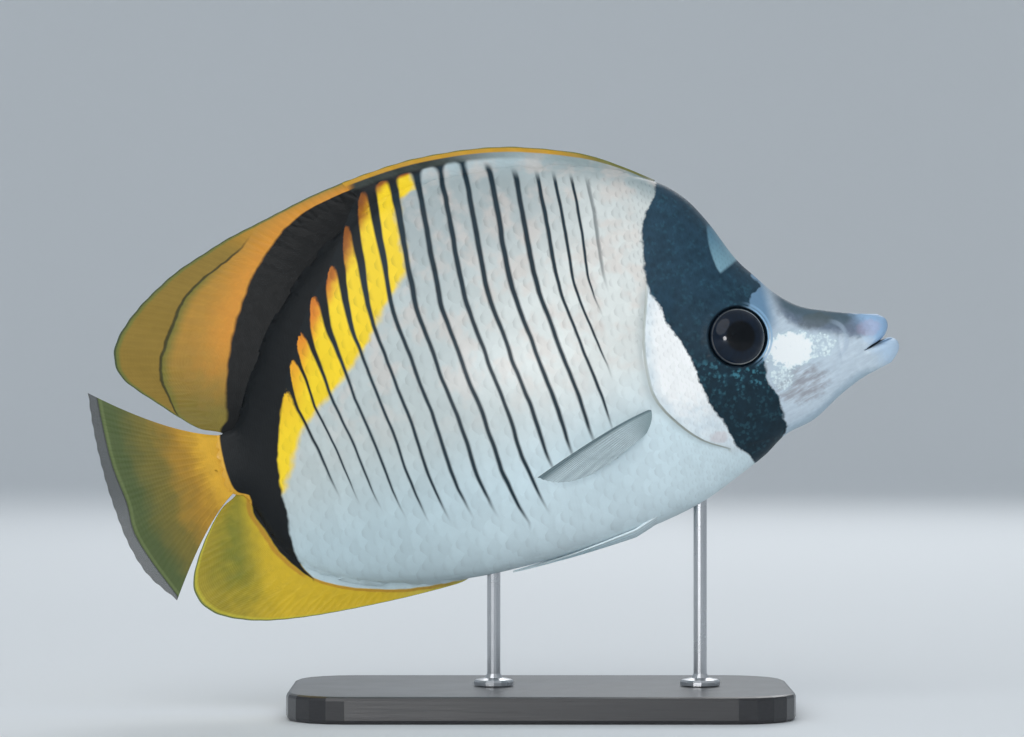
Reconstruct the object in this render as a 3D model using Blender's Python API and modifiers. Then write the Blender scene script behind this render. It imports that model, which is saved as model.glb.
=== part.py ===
"""Lined butterflyfish, Chaetodon lineolatus: a still, life-size model held by two rods over a flat base.

Units are metres. The fish is shaped level in its own frame, x towards the snout, y towards its left side and
z up, with its origin half way along its length. An empty then pitches it nose up and lifts it over the base.
The row frame's origin is under the middle of the whole model, on the surface that the base stands on.
"""

import math

import bmesh
import bpy
from mathutils import Matrix, Vector

# How the fish is held
PITCH = math.radians(11.0)
FISH_FORWARD = 0.00546
FISH_HEIGHT = 0.0910

# Clearance kept between nodes that meet
GAP = 0.0003

# Side outline of the flesh, without the fins: (x, z) from the tail to the lips
BACK_LINE = [
    (-0.0885, 0.0092), (-0.0845, 0.0096), (-0.0815, 0.0118), (-0.0765, 0.0215), (-0.0670, 0.0371),
    (-0.0548, 0.0505), (-0.0405, 0.0620), (-0.0240, 0.0690), (-0.0050, 0.0718), (0.0165, 0.0704),
    (0.0395, 0.0650), (0.0555, 0.0585), (0.0630, 0.0520), (0.0684, 0.0436), (0.0742, 0.0318),
    (0.0790, 0.0252), (0.0840, 0.0190), (0.0900, 0.0142), (0.0975, 0.0112), (0.1040, 0.0092),
]
BELLY_LINE = [
    (-0.0885, -0.0090), (-0.0845, -0.0097), (-0.0815, -0.0135), (-0.0775, -0.0235), (-0.0700, -0.0335),
    (-0.0575, -0.0408), (-0.0430, -0.0447), (-0.0215, -0.0474), (0.0050, -0.0464), (0.0265, -0.0440),
    (0.0395, -0.0415), (0.0510, -0.0382), (0.0630, -0.0326), (0.0720, -0.0280), (0.0790, -0.0232),
    (0.0885, -0.0202), (0.0975, -0.0146), (0.1040, -0.0112),
]

# Half width of the widest level of each section, and how high that level lies, as a share of the section
FLANK_WIDTH = [
    (-0.0885, 0.0027), (-0.0800, 0.0040), (-0.0650, 0.0072), (-0.0450, 0.0112), (-0.0200, 0.0148),
    (0.0050, 0.0165), (0.0300, 0.0170), (0.0450, 0.0164), (0.0580, 0.0148), (0.0700, 0.0122),
    (0.0800, 0.0092), (0.0900, 0.0067), (0.0980, 0.0054), (0.1040, 0.0047),
]
FLANK_LEVEL = [(-0.0885, 0.50), (-0.0400, 0.48), (0.0200, 0.46), (0.0550, 0.50), (0.0750, 0.52), (0.1040, 0.52)]

# Half thickness of the narrow strip along the back and the belly, where the fins stand
BACK_STRIP = [(-0.0885, 0.0012), (0.0450, 0.0013), (0.0600, 0.0009), (0.0720, 0.0005), (0.1040, 0.0005)]
BELLY_STRIP = [(-0.0885, 0.0012), (-0.0200, 0.0012), (-0.0050, 0.0009), (0.0300, 0.0008), (0.1040, 0.0005)]

# How pointed the upper and the lower half of a section are: 1 is an ellipse, more is a sharper edge
BACK_EDGE = [(-0.0885, 1.10), (-0.0400, 1.30), (0.0300, 1.25), (0.0600, 1.00), (0.1040, 0.95)]
BELLY_EDGE = [(-0.0885, 1.10), (-0.0400, 1.15), (0.0100, 0.95), (0.0500, 0.90), (0.1040, 0.90)]

# How many steps a section takes from the belly to the back
LEVELS = 18

# Cuts between the nodes of the body. The gill opening is (share of the section's height, x)
TAIL_CUT = -0.0760
SNOUT_CUT = 0.1030
GILL_OPENING = [
    (0.000, 0.0665), (0.110, 0.0612), (0.178, 0.0541), (0.256, 0.0478), (0.330, 0.0434), (0.400, 0.0418),
    (0.505, 0.0422), (0.622, 0.0448), (0.730, 0.0466), (0.888, 0.0502), (1.000, 0.0552),
]
CHEEK_EDGE = [(0.17, 0.0640), (0.27, 0.0600), (0.38, 0.0578), (0.50, 0.0560), (0.64, 0.0530)]
GILL_COVER_LEVELS = (5, 11)
GILL_COVER_COLUMNS = 5
GILL_COVER_THICKNESS = 0.0015
GILL_COVER_PROUD = 0.0004
RECESS_PAST = 0.004

# Eyes
EYE_CENTRE = (0.0699, 0.0084)
EYE_RADIUS = 0.0086
EYE_DEPTH = 0.0046
EYE_PROUD = 0.0031
EYE_SWELL = 0.0012
EYE_SWELL_REACH = 0.0125
ORBIT_RIM = 0.0007

# Nostrils, in front of each eye
NOSTRILS = [(0.0838, 0.0128), (0.0862, 0.0112)]
NOSTRIL_RADIUS = 0.0006
NOSTRIL_DEPTH = 0.0016

# Jaws: (x, highest z, lowest z, half width)
UPPER_JAW = [
    (0.1033, 0.0093, -0.0036, 0.0047), (0.1050, 0.0088, -0.0033, 0.0044), (0.1070, 0.0083, -0.0027, 0.0040),
    (0.1088, 0.0080, -0.0021, 0.0040), (0.1105, 0.0078, -0.0013, 0.0042), (0.1124, 0.0073, -0.0003, 0.0041),
    (0.1140, 0.0064, 0.0010, 0.0035), (0.1150, 0.0053, 0.0023, 0.0024), (0.1154, 0.0044, 0.0032, 0.0012),
]
LOWER_JAW = [
    (0.1033, -0.0040, -0.0114, 0.0046), (0.1055, -0.0036, -0.0106, 0.0043), (0.1078, -0.0028, -0.0098, 0.0040),
    (0.1100, -0.0020, -0.0092, 0.0040), (0.1120, -0.0012, -0.0087, 0.0042), (0.1140, -0.0006, -0.0079, 0.0041),
    (0.1158, -0.0006, -0.0067, 0.0035), (0.1171, -0.0014, -0.0054, 0.0025), (0.1177, -0.0026, -0.0043, 0.0013),
]

# Dorsal fin: margin (x, z) of the spiny part from the nape back, then of the soft part down to the tail
SPINY_MARGIN = [
    (0.0552, 0.0592), (0.0457, 0.0655), (0.0347, 0.0714), (0.0174, 0.0767), (0.0055, 0.0787),
    (-0.0066, 0.0794), (-0.0188, 0.0791), (-0.0342, 0.0770), (-0.0370, 0.0764),
]
SPINY_SPINES = 12
SPINY_BASE = (0.0540, -0.0290)
SPINE_LEAN = 0.78
SOFT_MARGIN = [
    (-0.0373, 0.0763), (-0.0480, 0.0740), (-0.0622, 0.0699), (-0.0740, 0.0665), (-0.0827, 0.0632),
    (-0.0920, 0.0592), (-0.0995, 0.0547), (-0.1060, 0.0500), (-0.1112, 0.0450), (-0.1141, 0.0403),
    (-0.1147, 0.0355), (-0.1132, 0.0312), (-0.1095, 0.0270), (-0.1045, 0.0222), (-0.0990, 0.0170),
    (-0.0930, 0.0120), (-0.0868, 0.0101),
]
SOFT_RAYS = 25
SOFT_BASE = (-0.0293, -0.0852)

# Beyond this crease the soft dorsal fin bends towards the fish's left: (share of the fin, share of the ray)
CREASE = [(0.20, 1.02), (0.30, 0.79), (0.48, 0.76), (0.65, 0.66), (0.80, 0.77), (0.91, 1.02)]
CREASE_BEND = 0.24

# Anal fin: three spines, then soft rays
ANAL_MARGIN = [
    (-0.0185, -0.0482), (-0.0280, -0.0490), (-0.0402, -0.0493), (-0.0559, -0.0497), (-0.0713, -0.0495),
    (-0.0837, -0.0484), (-0.0927, -0.0462), (-0.0992, -0.0431), (-0.1030, -0.0388), (-0.1040, -0.0340),
    (-0.1025, -0.0290), (-0.0990, -0.0226), (-0.0947, -0.0166), (-0.0907, -0.0123), (-0.0866, -0.0101),
]
ANAL_SPINES = 3
ANAL_RAYS = 21
ANAL_BASE = (-0.0190, -0.0850)

# Tail fin: rays leave the root level and open into a fan that hangs a little below the body's line
TAIL_ROOT_X = -0.0888
TAIL_ROOT_HALF = 0.0088
TAIL_MARGIN = [
    (-0.1240, 0.0290), (-0.1245, 0.0177), (-0.1240, 0.0039), (-0.1226, -0.0080), (-0.1204, -0.0190),
    (-0.1165, -0.0285), (-0.1096, -0.0372),
]
TAIL_TOP_BEND = (-0.1020, 0.0118)
TAIL_LOW_BEND = (-0.0962, -0.0150)
TAIL_RAYS = 17

# Thickness of the fins, half of it on each side of the middle
ROOT_HALF = 0.0012
EDGE_HALF = 0.0003
RAY_RIDGE = 0.00034
SPINE_RIDGE = 0.00055

# Pectoral fins: root on the flank, front and rear rays as bent lines of (x, out from the root, z)
PECTORAL_ROOT = [(0.0398, -0.0076), (0.0380, -0.0138)]
PECTORAL_FRONT = [(0.0270, 0.0110, -0.0095), (0.0045, 0.0270, -0.0195)]
PECTORAL_REAR = [(0.0310, 0.0040, -0.0195), (0.0180, 0.0085, -0.0235)]
PECTORAL_RAYS = 15
PECTORAL_ROOT_HALF = 0.0009

# Pelvic fins, folded back under the belly: (share of length, y of outer edge, y of inner edge)
PELVIC_ROOT_X = 0.0392
PELVIC_TIP_X = -0.0090
PELVIC_EDGES = [(0.0, 0.0068, 0.0036), (0.25, 0.0066, 0.0016), (0.55, 0.0052, 0.0010), (1.0, 0.0022, 0.0010)]
PELVIC_CLEAR = 0.0008
PELVIC_RAYS = 6

# Display stand
BASE_LENGTH = 0.150
BASE_WIDTH = 0.078
BASE_THICKNESS = 0.008
BASE_CORNER = 0.018
BASE_EDGE = 0.0012
BASE_FORWARD = 0.014
ROD_RADIUS = 0.0020
ROD_FOOT = 0.0060
ROD_SOCKET = 0.0065
ROD_PLACES = {"stand_rod_front": 0.0500, "stand_rod_rear": -0.0148}

# Finishes: colour, metallic, roughness
WHITE_SKIN = ((0.78, 0.82, 0.84), 0.0, 0.42)
YELLOW_FIN = ((0.86, 0.60, 0.06), 0.0, 0.45)
DARK_EYE = ((0.012, 0.014, 0.02), 0.0, 0.08)
PALE_LIP = ((0.74, 0.74, 0.84), 0.0, 0.40)
CLEAR_FIN = ((0.42, 0.50, 0.50), 0.0, 0.40)
SATIN_BLACK = ((0.03, 0.03, 0.035), 0.0, 0.35)
BRIGHT_STEEL = ((0.62, 0.63, 0.65), 1.0, 0.25)


def clear_scene():
    """Removes whatever the scene holds."""
    for obj in list(bpy.data.objects):
        bpy.data.objects.remove(obj, do_unlink=True)


def new_collection(name):
    """Makes a collection in the scene."""
    made = bpy.data.collections.new(name)
    bpy.context.scene.collection.children.link(made)
    return made


def finish(name, look):
    """Makes a material from (colour, metallic, roughness)."""
    colour, metallic, roughness = look
    made = bpy.data.materials.new(name)
    made.use_nodes = True
    shader = made.node_tree.nodes["Principled BSDF"]
    shader.inputs["Base Color"].default_value = (*colour, 1.0)
    shader.inputs["Metallic"].default_value = metallic
    shader.inputs["Roughness"].default_value = roughness
    return made


def smooth(points, x):
    """Height at x of a smooth curve through points that are sorted along x, level past its ends."""
    if x <= points[0][0]:
        return points[0][1]
    if x >= points[-1][0]:
        return points[-1][1]
    i = next(k for k in range(len(points) - 1) if x <= points[k + 1][0])

    def slope(k):
        low, high = max(k - 1, 0), min(k + 1, len(points) - 1)
        return (points[high][1] - points[low][1]) / (points[high][0] - points[low][0])

    (x0, y0), (x1, y1) = points[i], points[i + 1]
    width = x1 - x0
    t = (x - x0) / width
    return (
        y0 * (1 + 2 * t) * (1 - t) ** 2
        + slope(i) * width * t * (1 - t) ** 2
        + y1 * t * t * (3 - 2 * t)
        + slope(i + 1) * width * t * t * (t - 1)
    )


def mixed(a, b, share):
    """The value or point that lies at share of the way from a to b."""
    return a + (b - a) * share


def rounded(points, steps=6):
    """A fine line through points, as Vectors, bent smoothly at each of them."""
    knots = [Vector(p) for p in points]
    knots = [2 * knots[0] - knots[1], *knots, 2 * knots[-1] - knots[-2]]
    line = []
    for a, b, c, d in zip(knots, knots[1:], knots[2:], knots[3:]):
        for k in range(steps):
            t = k / steps
            line.append(0.5 * (2 * b + (c - a) * t + (2 * a - 5 * b + 4 * c - d) * t**2
                               + (3 * b - a - 3 * c + d) * t**3))
    return [*line, knots[-2]]


def along(line, share):
    """The point at a share of a line's length."""
    steps = [(b - a).length for a, b in zip(line, line[1:])]
    left = share * sum(steps)
    for a, b, step in zip(line, line[1:], steps):
        if left <= step:
            return a.lerp(b, left / step)
        left -= step
    return line[-1].copy()


def bent(root, control, tip, share):
    """A point of the bent ray that leaves root towards control and ends at tip."""
    return root.lerp(control, share).lerp(control.lerp(tip, share), share)


def skew(x):
    """Power that lifts or lowers the widest level of a section."""
    return math.log(smooth(FLANK_LEVEL, x)) / math.log(0.5)


def section_height(x, share):
    """z at a share of the way up the section at x."""
    return mixed(smooth(BELLY_LINE, x), smooth(BACK_LINE, x), share)


def section_half(x, share):
    """Half width of the flesh at a share of the way up the section at x, without the swelling round the eye."""
    turn = 1 - 2 * min(max(share, 0.0), 1.0) ** (1 / skew(x))
    upper = turn < 0
    strip = smooth(BACK_STRIP if upper else BELLY_STRIP, x)
    edge = smooth(BACK_EDGE if upper else BELLY_EDGE, x)
    return mixed(strip, smooth(FLANK_WIDTH, x), math.sqrt(max(1 - turn * turn, 0)) ** edge)


def half_width(x, z):
    """Half width of the flesh at a point of the side view."""
    low, high = smooth(BELLY_LINE, x), smooth(BACK_LINE, x)
    far = math.dist((x, z), EYE_CENTRE) / EYE_SWELL_REACH
    return section_half(x, (z - low) / (high - low)) + EYE_SWELL * math.exp(-far * far)


def belly_height(x, y):
    """z of the underside of the belly at a distance y from the middle."""
    strip, wide = smooth(BELLY_STRIP, x), smooth(FLANK_WIDTH, x)
    rise = min(max((y - strip) / (wide - strip), 0.0), 1.0) ** (1 / smooth(BELLY_EDGE, x))
    return section_height(x, ((1 - math.sqrt(1 - rise * rise)) / 2) ** skew(x))


def flank_normal(x, z):
    """Outward normal of the left flank."""
    step = 0.0005
    ahead = half_width(x + step, z) - half_width(x - step, z)
    above = half_width(x, z + step) - half_width(x, z - step)
    return Vector((-ahead, 2 * step, -above)).normalized()


class Shape:
    """A closed mesh as it is put together."""

    def __init__(self):
        self.mesh = bmesh.new()

    def points(self, places):
        """Adds vertices."""
        return [self.mesh.verts.new(place) for place in places]

    def face(self, *corners):
        """Adds a face, leaving out corners that repeat."""
        kept = list(dict.fromkeys(corners))
        if len(kept) > 2:
            self.mesh.faces.new(kept)

    def into(self, name, owner, material, parent=None, sharp=40.0):
        """Turns the shape into an object."""
        bmesh.ops.recalc_face_normals(self.mesh, faces=self.mesh.faces)
        data = bpy.data.meshes.new(name)
        self.mesh.to_mesh(data)
        self.mesh.free()
        data.shade_smooth()
        data.set_sharp_from_angle(angle=math.radians(sharp))
        obj = bpy.data.objects.new(name, data)
        if material:
            data.materials.append(material)
        obj.parent = parent
        owner.objects.link(obj)
        return obj


def loft(stations, name, owner, material, parent):
    """A closed body from stations, each a list of (x, half width, z) up one side, mirrored to the other side."""
    shape = Shape()
    rings = []
    for station in stations:
        right = shape.points([(x, -y, z) for x, y, z in station])
        left = shape.points([(x, y, z) for x, y, z in station])
        rings.append((right, left))
    for (right, left), (next_right, next_left) in zip(rings, rings[1:]):
        for side, following in ((right, next_right), (left, next_left)):
            for k in range(len(side) - 1):
                shape.face(side[k], side[k + 1], following[k + 1], following[k])
        for k in (0, -1):
            shape.face(right[k], left[k], next_left[k], next_right[k])
    for right, left in (rings[0], rings[-1]):
        for k in range(len(right) - 1):
            shape.face(right[k], right[k + 1], left[k + 1], left[k])
    return shape.into(name, owner, material, parent)


def level_share(k, x):
    """How far up the section at x its level k lies."""
    return ((1 - math.cos(math.pi * k / LEVELS)) / 2) ** skew(x)


def body_station(place):
    """One station of the body. place gives x for a share of the section's height."""
    station = []
    for k in range(LEVELS + 1):
        share = level_share(k, place(0.5))
        x = place(share)
        z = section_height(x, share)
        station.append((x, half_width(x, z), z))
    return station


def body_piece(name, rear, front, shares, owner, material, parent):
    """The body between two cuts, each a function of the share of the section's height."""
    stations = [body_station(lambda share, s=s: mixed(rear(share), front(share), s)) for s in shares]
    return loft(stations, name, owner, material, parent)


def gill_cut(offset):
    """The cut along the gill opening, moved along x."""
    return lambda share: smooth(GILL_OPENING, share) + offset


def flat_cut(x):
    """A cut straight across the body."""
    return lambda share: x


def jaw(sizes, name, owner, material, parent, levels=10):
    """A jaw from its (x, highest z, lowest z, half width) sizes, with full, rounded lips."""
    stations = []
    for x, high, low, wide in sizes:
        station = []
        for k in range(levels + 1):
            turn = math.pi * k / levels
            z = mixed(low, high, (1 - math.cos(turn)) / 2)
            station.append((x, wide * max(math.sin(turn) ** 0.8, 0.12), z))
        stations.append(station)
    return loft(stations, name, owner, material, parent)


def flank_patch(shares, edges, depths, side, columns, name, owner, material, parent):
    """A plate that follows the flank between two edges, from one depth over the skin to another."""
    shape = Shape()
    steps = (len(shares) - 1, columns)
    layers = []
    for depth in depths:
        rows = []
        for share in shares:
            row = []
            for j in range(columns + 1):
                x = mixed(edges[0](share), edges[1](share), j / columns)
                z = section_height(x, share)
                row.append((x, side * (half_width(x, z) + depth), z))
            rows.append(shape.points(row))
        layers.append(rows)
    outer, inner = layers
    for i in range(steps[0]):
        for j in range(steps[1]):
            for rows in (outer, inner):
                shape.face(rows[i][j], rows[i][j + 1], rows[i + 1][j + 1])
                shape.face(rows[i][j], rows[i + 1][j + 1], rows[i + 1][j])
    rim = [(i, 0) for i in range(steps[0])] + [(steps[0], j) for j in range(steps[1])]
    rim += [(i, steps[1]) for i in range(steps[0], 0, -1)] + [(0, j) for j in range(steps[1], 0, -1)]
    for (i, j), (m, n) in zip(rim, [*rim[1:], rim[0]]):
        shape.face(outer[i][j], outer[m][n], inner[m][n], inner[i][j])
    return shape.into(name, owner, material, parent)


def fin(columns, rows, middle, half, name, owner, material, parent, seat=None):
    """A fin as one closed vane. middle(i, v) is a point and half(i, v) half the thickness, for column i and
    share v of the way from root to margin. Both faces are split alike. seat moves the root's points."""
    shape = Shape()
    step = 0.02
    faces = ([], [])
    for i in range(columns):
        sides = ([], [])
        for j in range(rows + 1):
            v = j / rows
            place = middle(i, v)
            over = middle(min(i + 1, columns - 1), v) - middle(max(i - 1, 0), v)
            out = middle(i, min(v + step, 1.0)) - middle(i, max(v - step, 0.0))
            normal = over.cross(out).normalized()
            if normal.y < 0:
                normal = -normal
            for side, way in zip(sides, (-1, 1)):
                point = place + normal * (way * half(i, v))
                side.append(seat(point) if seat and j == 0 else point)
        for face, side in zip(faces, sides):
            face.append(shape.points(side))
    right, left = faces
    for i in range(columns - 1):
        for j in range(rows):
            for face in faces:
                shape.face(face[i][j], face[i + 1][j], face[i + 1][j + 1])
                shape.face(face[i][j], face[i + 1][j + 1], face[i][j + 1])
    rim = [(0, j) for j in range(rows)] + [(i, rows) for i in range(columns - 1)]
    rim += [(columns - 1, j) for j in range(rows, 0, -1)] + [(i, 0) for i in range(columns - 1, 0, -1)]
    for (i, j), (m, n) in zip(rim, [*rim[1:], rim[0]]):
        shape.face(right[i][j], right[m][n], left[m][n], left[i][j])
    return shape.into(name, owner, material, parent, sharp=7.0)


def is_ray(i):
    """Rays and spines are the even columns of a fin, and the membrane lies between them."""
    return i % 2 == 0


def ridged(root, ridge, taper=0.60):
    """Half thickness of a fin that thins from its root to its edge, with a ridge along each ray."""

    def half(i, v):
        plain = mixed(EDGE_HALF, root, (1 - v) ** 2)
        return plain + (ridge * (1 - taper * v) if is_ray(i) else 0.0)

    return half


def fin_base(first, last, line):
    """The line along the back or belly, from the front to the rear, where a fin stands clear of the flesh."""
    steps = 90
    flesh = [Vector((x, 0, smooth(line, x))) for x in (mixed(first, last, k / steps) for k in range(steps + 1))]
    side = 1 if line is BACK_LINE else -1
    base = []
    for k, point in enumerate(flesh):
        run = flesh[min(k + 1, steps)] - flesh[max(k - 1, 0)]
        upward = Vector((run.z, 0, -run.x)).normalized()
        base.append(point + upward * side * GAP)
    return base


def upright(points):
    """A smooth line in the fish's middle plane through (x, z) points."""
    return rounded([(x, 0, z) for x, z in points])


def dorsal_spiny(owner, material, parent):
    """The low front part of the dorsal fin, its spines laid well back."""
    base = fin_base(*SPINY_BASE, BACK_LINE)
    margin = upright(SPINY_MARGIN)
    columns = 2 * SPINY_SPINES - 1

    def middle(i, v):
        share = i / (columns - 1)
        reach = 1.0 if is_ray(i) else 0.86
        return along(base, share).lerp(along(margin, share ** SPINE_LEAN), v * reach)

    return fin(columns, 4, middle, ridged(ROOT_HALF, SPINE_RIDGE), "dorsal_fin_spiny", owner, material, parent)


def dorsal_soft(owner, material, parent):
    """The tall rear part of the dorsal fin, creased near its margin."""
    base = fin_base(*SOFT_BASE, BACK_LINE)
    margin = upright(SOFT_MARGIN)
    columns = 2 * SOFT_RAYS - 1

    def middle(i, v):
        share = i / (columns - 1)
        reach = 1.0 if is_ray(i) else 0.985
        root, tip = along(base, share ** 0.92), along(margin, share)
        point = root.lerp(tip, v * reach)
        point.y += CREASE_BEND * (tip - root).length * max(v - smooth(CREASE, share), 0.0)
        return point

    return fin(columns, 6, middle, ridged(ROOT_HALF, RAY_RIDGE), "dorsal_fin_soft", owner, material, parent)


def anal(owner, material, parent):
    """The anal fin."""
    base = fin_base(*ANAL_BASE, BELLY_LINE)
    margin = upright(ANAL_MARGIN)
    columns = 2 * (ANAL_SPINES + ANAL_RAYS) - 1
    plain = ridged(ROOT_HALF, RAY_RIDGE)
    strong = ridged(ROOT_HALF, SPINE_RIDGE)

    def middle(i, v):
        share = i / (columns - 1)
        reach = 1.0 if is_ray(i) else 0.985
        return along(base, share ** 0.90).lerp(along(margin, share), v * reach)

    def half(i, v):
        return (strong if i < 2 * ANAL_SPINES else plain)(i, v)

    return fin(columns, 5, middle, half, "anal_fin", owner, material, parent)


def tail(owner, material, parent):
    """The tail fin."""
    margin = upright(TAIL_MARGIN)
    columns = 2 * TAIL_RAYS - 1
    top_bend, low_bend = (Vector((x, 0, z)) for x, z in (TAIL_TOP_BEND, TAIL_LOW_BEND))

    def middle(i, v):
        share = i / (columns - 1)
        root = Vector((TAIL_ROOT_X, 0, mixed(TAIL_ROOT_HALF, -TAIL_ROOT_HALF, share)))
        reach = 1.0 if is_ray(i) else 0.985
        return bent(root, top_bend.lerp(low_bend, share), along(margin, share), v * reach)

    return fin(columns, 6, middle, ridged(ROOT_HALF * 1.3, RAY_RIDGE), "tail_fin", owner, material, parent)


def pectoral(side, owner, material, parent):
    """A pectoral fin, standing out from the flank behind the gill cover."""
    columns = 2 * PECTORAL_RAYS - 1
    roots = [Vector((x, half_width(x, z) + GAP, z)) for x, z in PECTORAL_ROOT]

    def edge(root, line):
        return [Vector((x, root.y + out, z)) for x, out, z in line]

    front, rear = edge(roots[0], PECTORAL_FRONT), edge(roots[1], PECTORAL_REAR)

    def middle(i, v):
        share = i / (columns - 1)
        reach = (1.0 if is_ray(i) else 0.98) * (1 - 0.35 * (1 - share) * share - 0.06 * (1 - share) ** 8)
        point = bent(roots[0].lerp(roots[1], share), front[0].lerp(rear[0], share), front[1].lerp(rear[1], share),
                     v * reach)
        return Vector((point.x, side * point.y, point.z))

    def seat(point):
        return Vector((point.x, side * (half_width(point.x, point.z) + GAP), point.z))

    name = "pectoral_fin_left" if side > 0 else "pectoral_fin_right"
    return fin(columns, 5, middle, ridged(PECTORAL_ROOT_HALF, RAY_RIDGE), name, owner, material, parent, seat)


def pelvic(side, owner, material, parent):
    """A pelvic fin, folded back and laid along the underside of the belly."""
    columns = 2 * PELVIC_RAYS - 1
    outer = [(v, y) for v, y, _ in PELVIC_EDGES]
    inner = [(v, y) for v, _, y in PELVIC_EDGES]

    def middle(i, v):
        share = i / (columns - 1)
        reach = v * (1.0 if is_ray(i) else 0.98) * (1 - 0.12 * share)
        x = mixed(PELVIC_ROOT_X, PELVIC_TIP_X, reach)
        y = mixed(smooth(outer, reach), smooth(inner, reach), share)
        lift = PELVIC_CLEAR * min(1.0, 0.75 + 4 * reach)
        return Vector((x, side * y, belly_height(x, y) - lift))

    name = "pelvic_fin_left" if side > 0 else "pelvic_fin_right"
    return fin(columns, 7, middle, lambda i, v: EDGE_HALF + (0.00012 if is_ray(i) else 0), name, owner, material, parent)


def eye_matrix(side, proud):
    """Where an eye sits: its own z points out of the head, square to the skin round it."""
    x, z = EYE_CENTRE
    normal = flank_normal(x, z)
    spot = Vector((x, half_width(x, z), z)) + normal * (proud - EYE_DEPTH)
    normal.y *= side
    spot.y *= side
    return Matrix.Translation(spot) @ normal.to_track_quat("Z", "Y").to_matrix().to_4x4()


def eyeball(side, grow, name, owner, material, parent):
    """A flattened ball for an eye or, grown by a clearance, for its socket."""
    shape = Shape()
    bmesh.ops.create_uvsphere(shape.mesh, u_segments=20, v_segments=10, radius=1.0)
    sizes = Matrix.Diagonal((EYE_RADIUS + grow, EYE_RADIUS + grow, EYE_DEPTH + grow, 1.0))
    bmesh.ops.transform(shape.mesh, matrix=eye_matrix(side, EYE_PROUD) @ sizes, verts=shape.mesh.verts)
    return shape.into(name, owner, material, parent)


def orbit_rim(side, owner, parent):
    """The raised ring of skin round an eye, joined to the head."""
    shape = Shape()
    x, z = EYE_CENTRE
    around, across = 24, 5
    centre = eye_matrix(side, EYE_DEPTH)
    rings = []
    for i in range(around):
        turn = 2 * math.pi * i / around
        way = (centre.to_3x3() @ Vector((math.cos(turn), math.sin(turn), 0))).normalized()
        place = centre.translation + way * (EYE_RADIUS + ORBIT_RIM * 0.6)
        place.y = side * (half_width(place.x, place.z) + ORBIT_RIM * 0.1)
        out = centre.to_3x3() @ Vector((0, 0, 1))
        rings.append(shape.points([
            place + ORBIT_RIM * (math.cos(a) * way * 1.5 + math.sin(a) * out)
            for a in (2 * math.pi * k / across for k in range(across))
        ]))
    for ring, following in zip(rings, [*rings[1:], rings[0]]):
        for k in range(across):
            n = (k + 1) % across
            shape.face(ring[k], ring[n], following[n], following[k])
    return shape.into("orbit_rim", owner, None, parent)


def cylinder(radius, height, sides, name, owner, material, matrix, parent=None):
    """A closed cylinder that stands on its matrix's origin."""
    shape = Shape()
    bmesh.ops.create_cone(shape.mesh, cap_ends=True, segments=sides, radius1=radius, radius2=radius, depth=height)
    lift = Matrix.Translation((0, 0, height / 2))
    bmesh.ops.transform(shape.mesh, matrix=matrix @ lift, verts=shape.mesh.verts)
    return shape.into(name, owner, material, parent)


def joined(target, tool, operation):
    """Adds a Boolean modifier that joins a helper to the target or cuts it away."""
    tool.hide_render = True
    tool.display_type = "WIRE"
    made = target.modifiers.new(operation.title(), "BOOLEAN")
    made.object = tool
    made.operation = operation
    made.solver = "EXACT"


def rounded_box(name, owner, material):
    """The stand's base: a slab with round corners and a small bevel along its upper and lower edges."""
    outline = bpy.data.curves.new(name, "CURVE")
    outline.dimensions = "2D"
    outline.fill_mode = "BOTH"
    outline.extrude = BASE_THICKNESS / 2 - BASE_EDGE
    outline.bevel_depth = BASE_EDGE
    outline.bevel_resolution = 1
    spline = outline.splines.new("POLY")
    corner_steps = 5
    places = []
    for quarter, (sx, sy) in enumerate(((1, 1), (-1, 1), (-1, -1), (1, -1))):
        cx, cy = sx * (BASE_LENGTH / 2 - BASE_CORNER), sy * (BASE_WIDTH / 2 - BASE_CORNER)
        for k in range(corner_steps + 1):
            turn = math.pi / 2 * (quarter + k / corner_steps)
            reach = BASE_CORNER - BASE_EDGE
            places.append((cx + reach * math.cos(turn), cy + reach * math.sin(turn)))
    spline.points.add(len(places) - 1)
    for point, (x, y) in zip(spline.points, places):
        point.co = (x, y, 0, 1)
    spline.use_cyclic_u = True
    curve = bpy.data.objects.new(name + "_outline", outline)
    owner.objects.link(curve)
    curve.location = (BASE_FORWARD, 0, BASE_THICKNESS / 2)
    bpy.context.view_layer.update()
    evaluated = curve.evaluated_get(bpy.context.evaluated_depsgraph_get())
    data = bpy.data.meshes.new_from_object(evaluated)
    data.transform(curve.matrix_world)
    bpy.data.objects.remove(curve)
    welded = bmesh.new()
    welded.from_mesh(data)
    bmesh.ops.remove_doubles(welded, verts=welded.verts, dist=1e-6)
    bmesh.ops.recalc_face_normals(welded, faces=welded.faces)
    welded.to_mesh(data)
    welded.free()
    data.name = name
    data.materials.clear()
    data.materials.append(material)
    data.set_sharp_from_angle(angle=math.radians(30))
    obj = bpy.data.objects.new(name, data)
    owner.objects.link(obj)
    return obj


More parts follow.
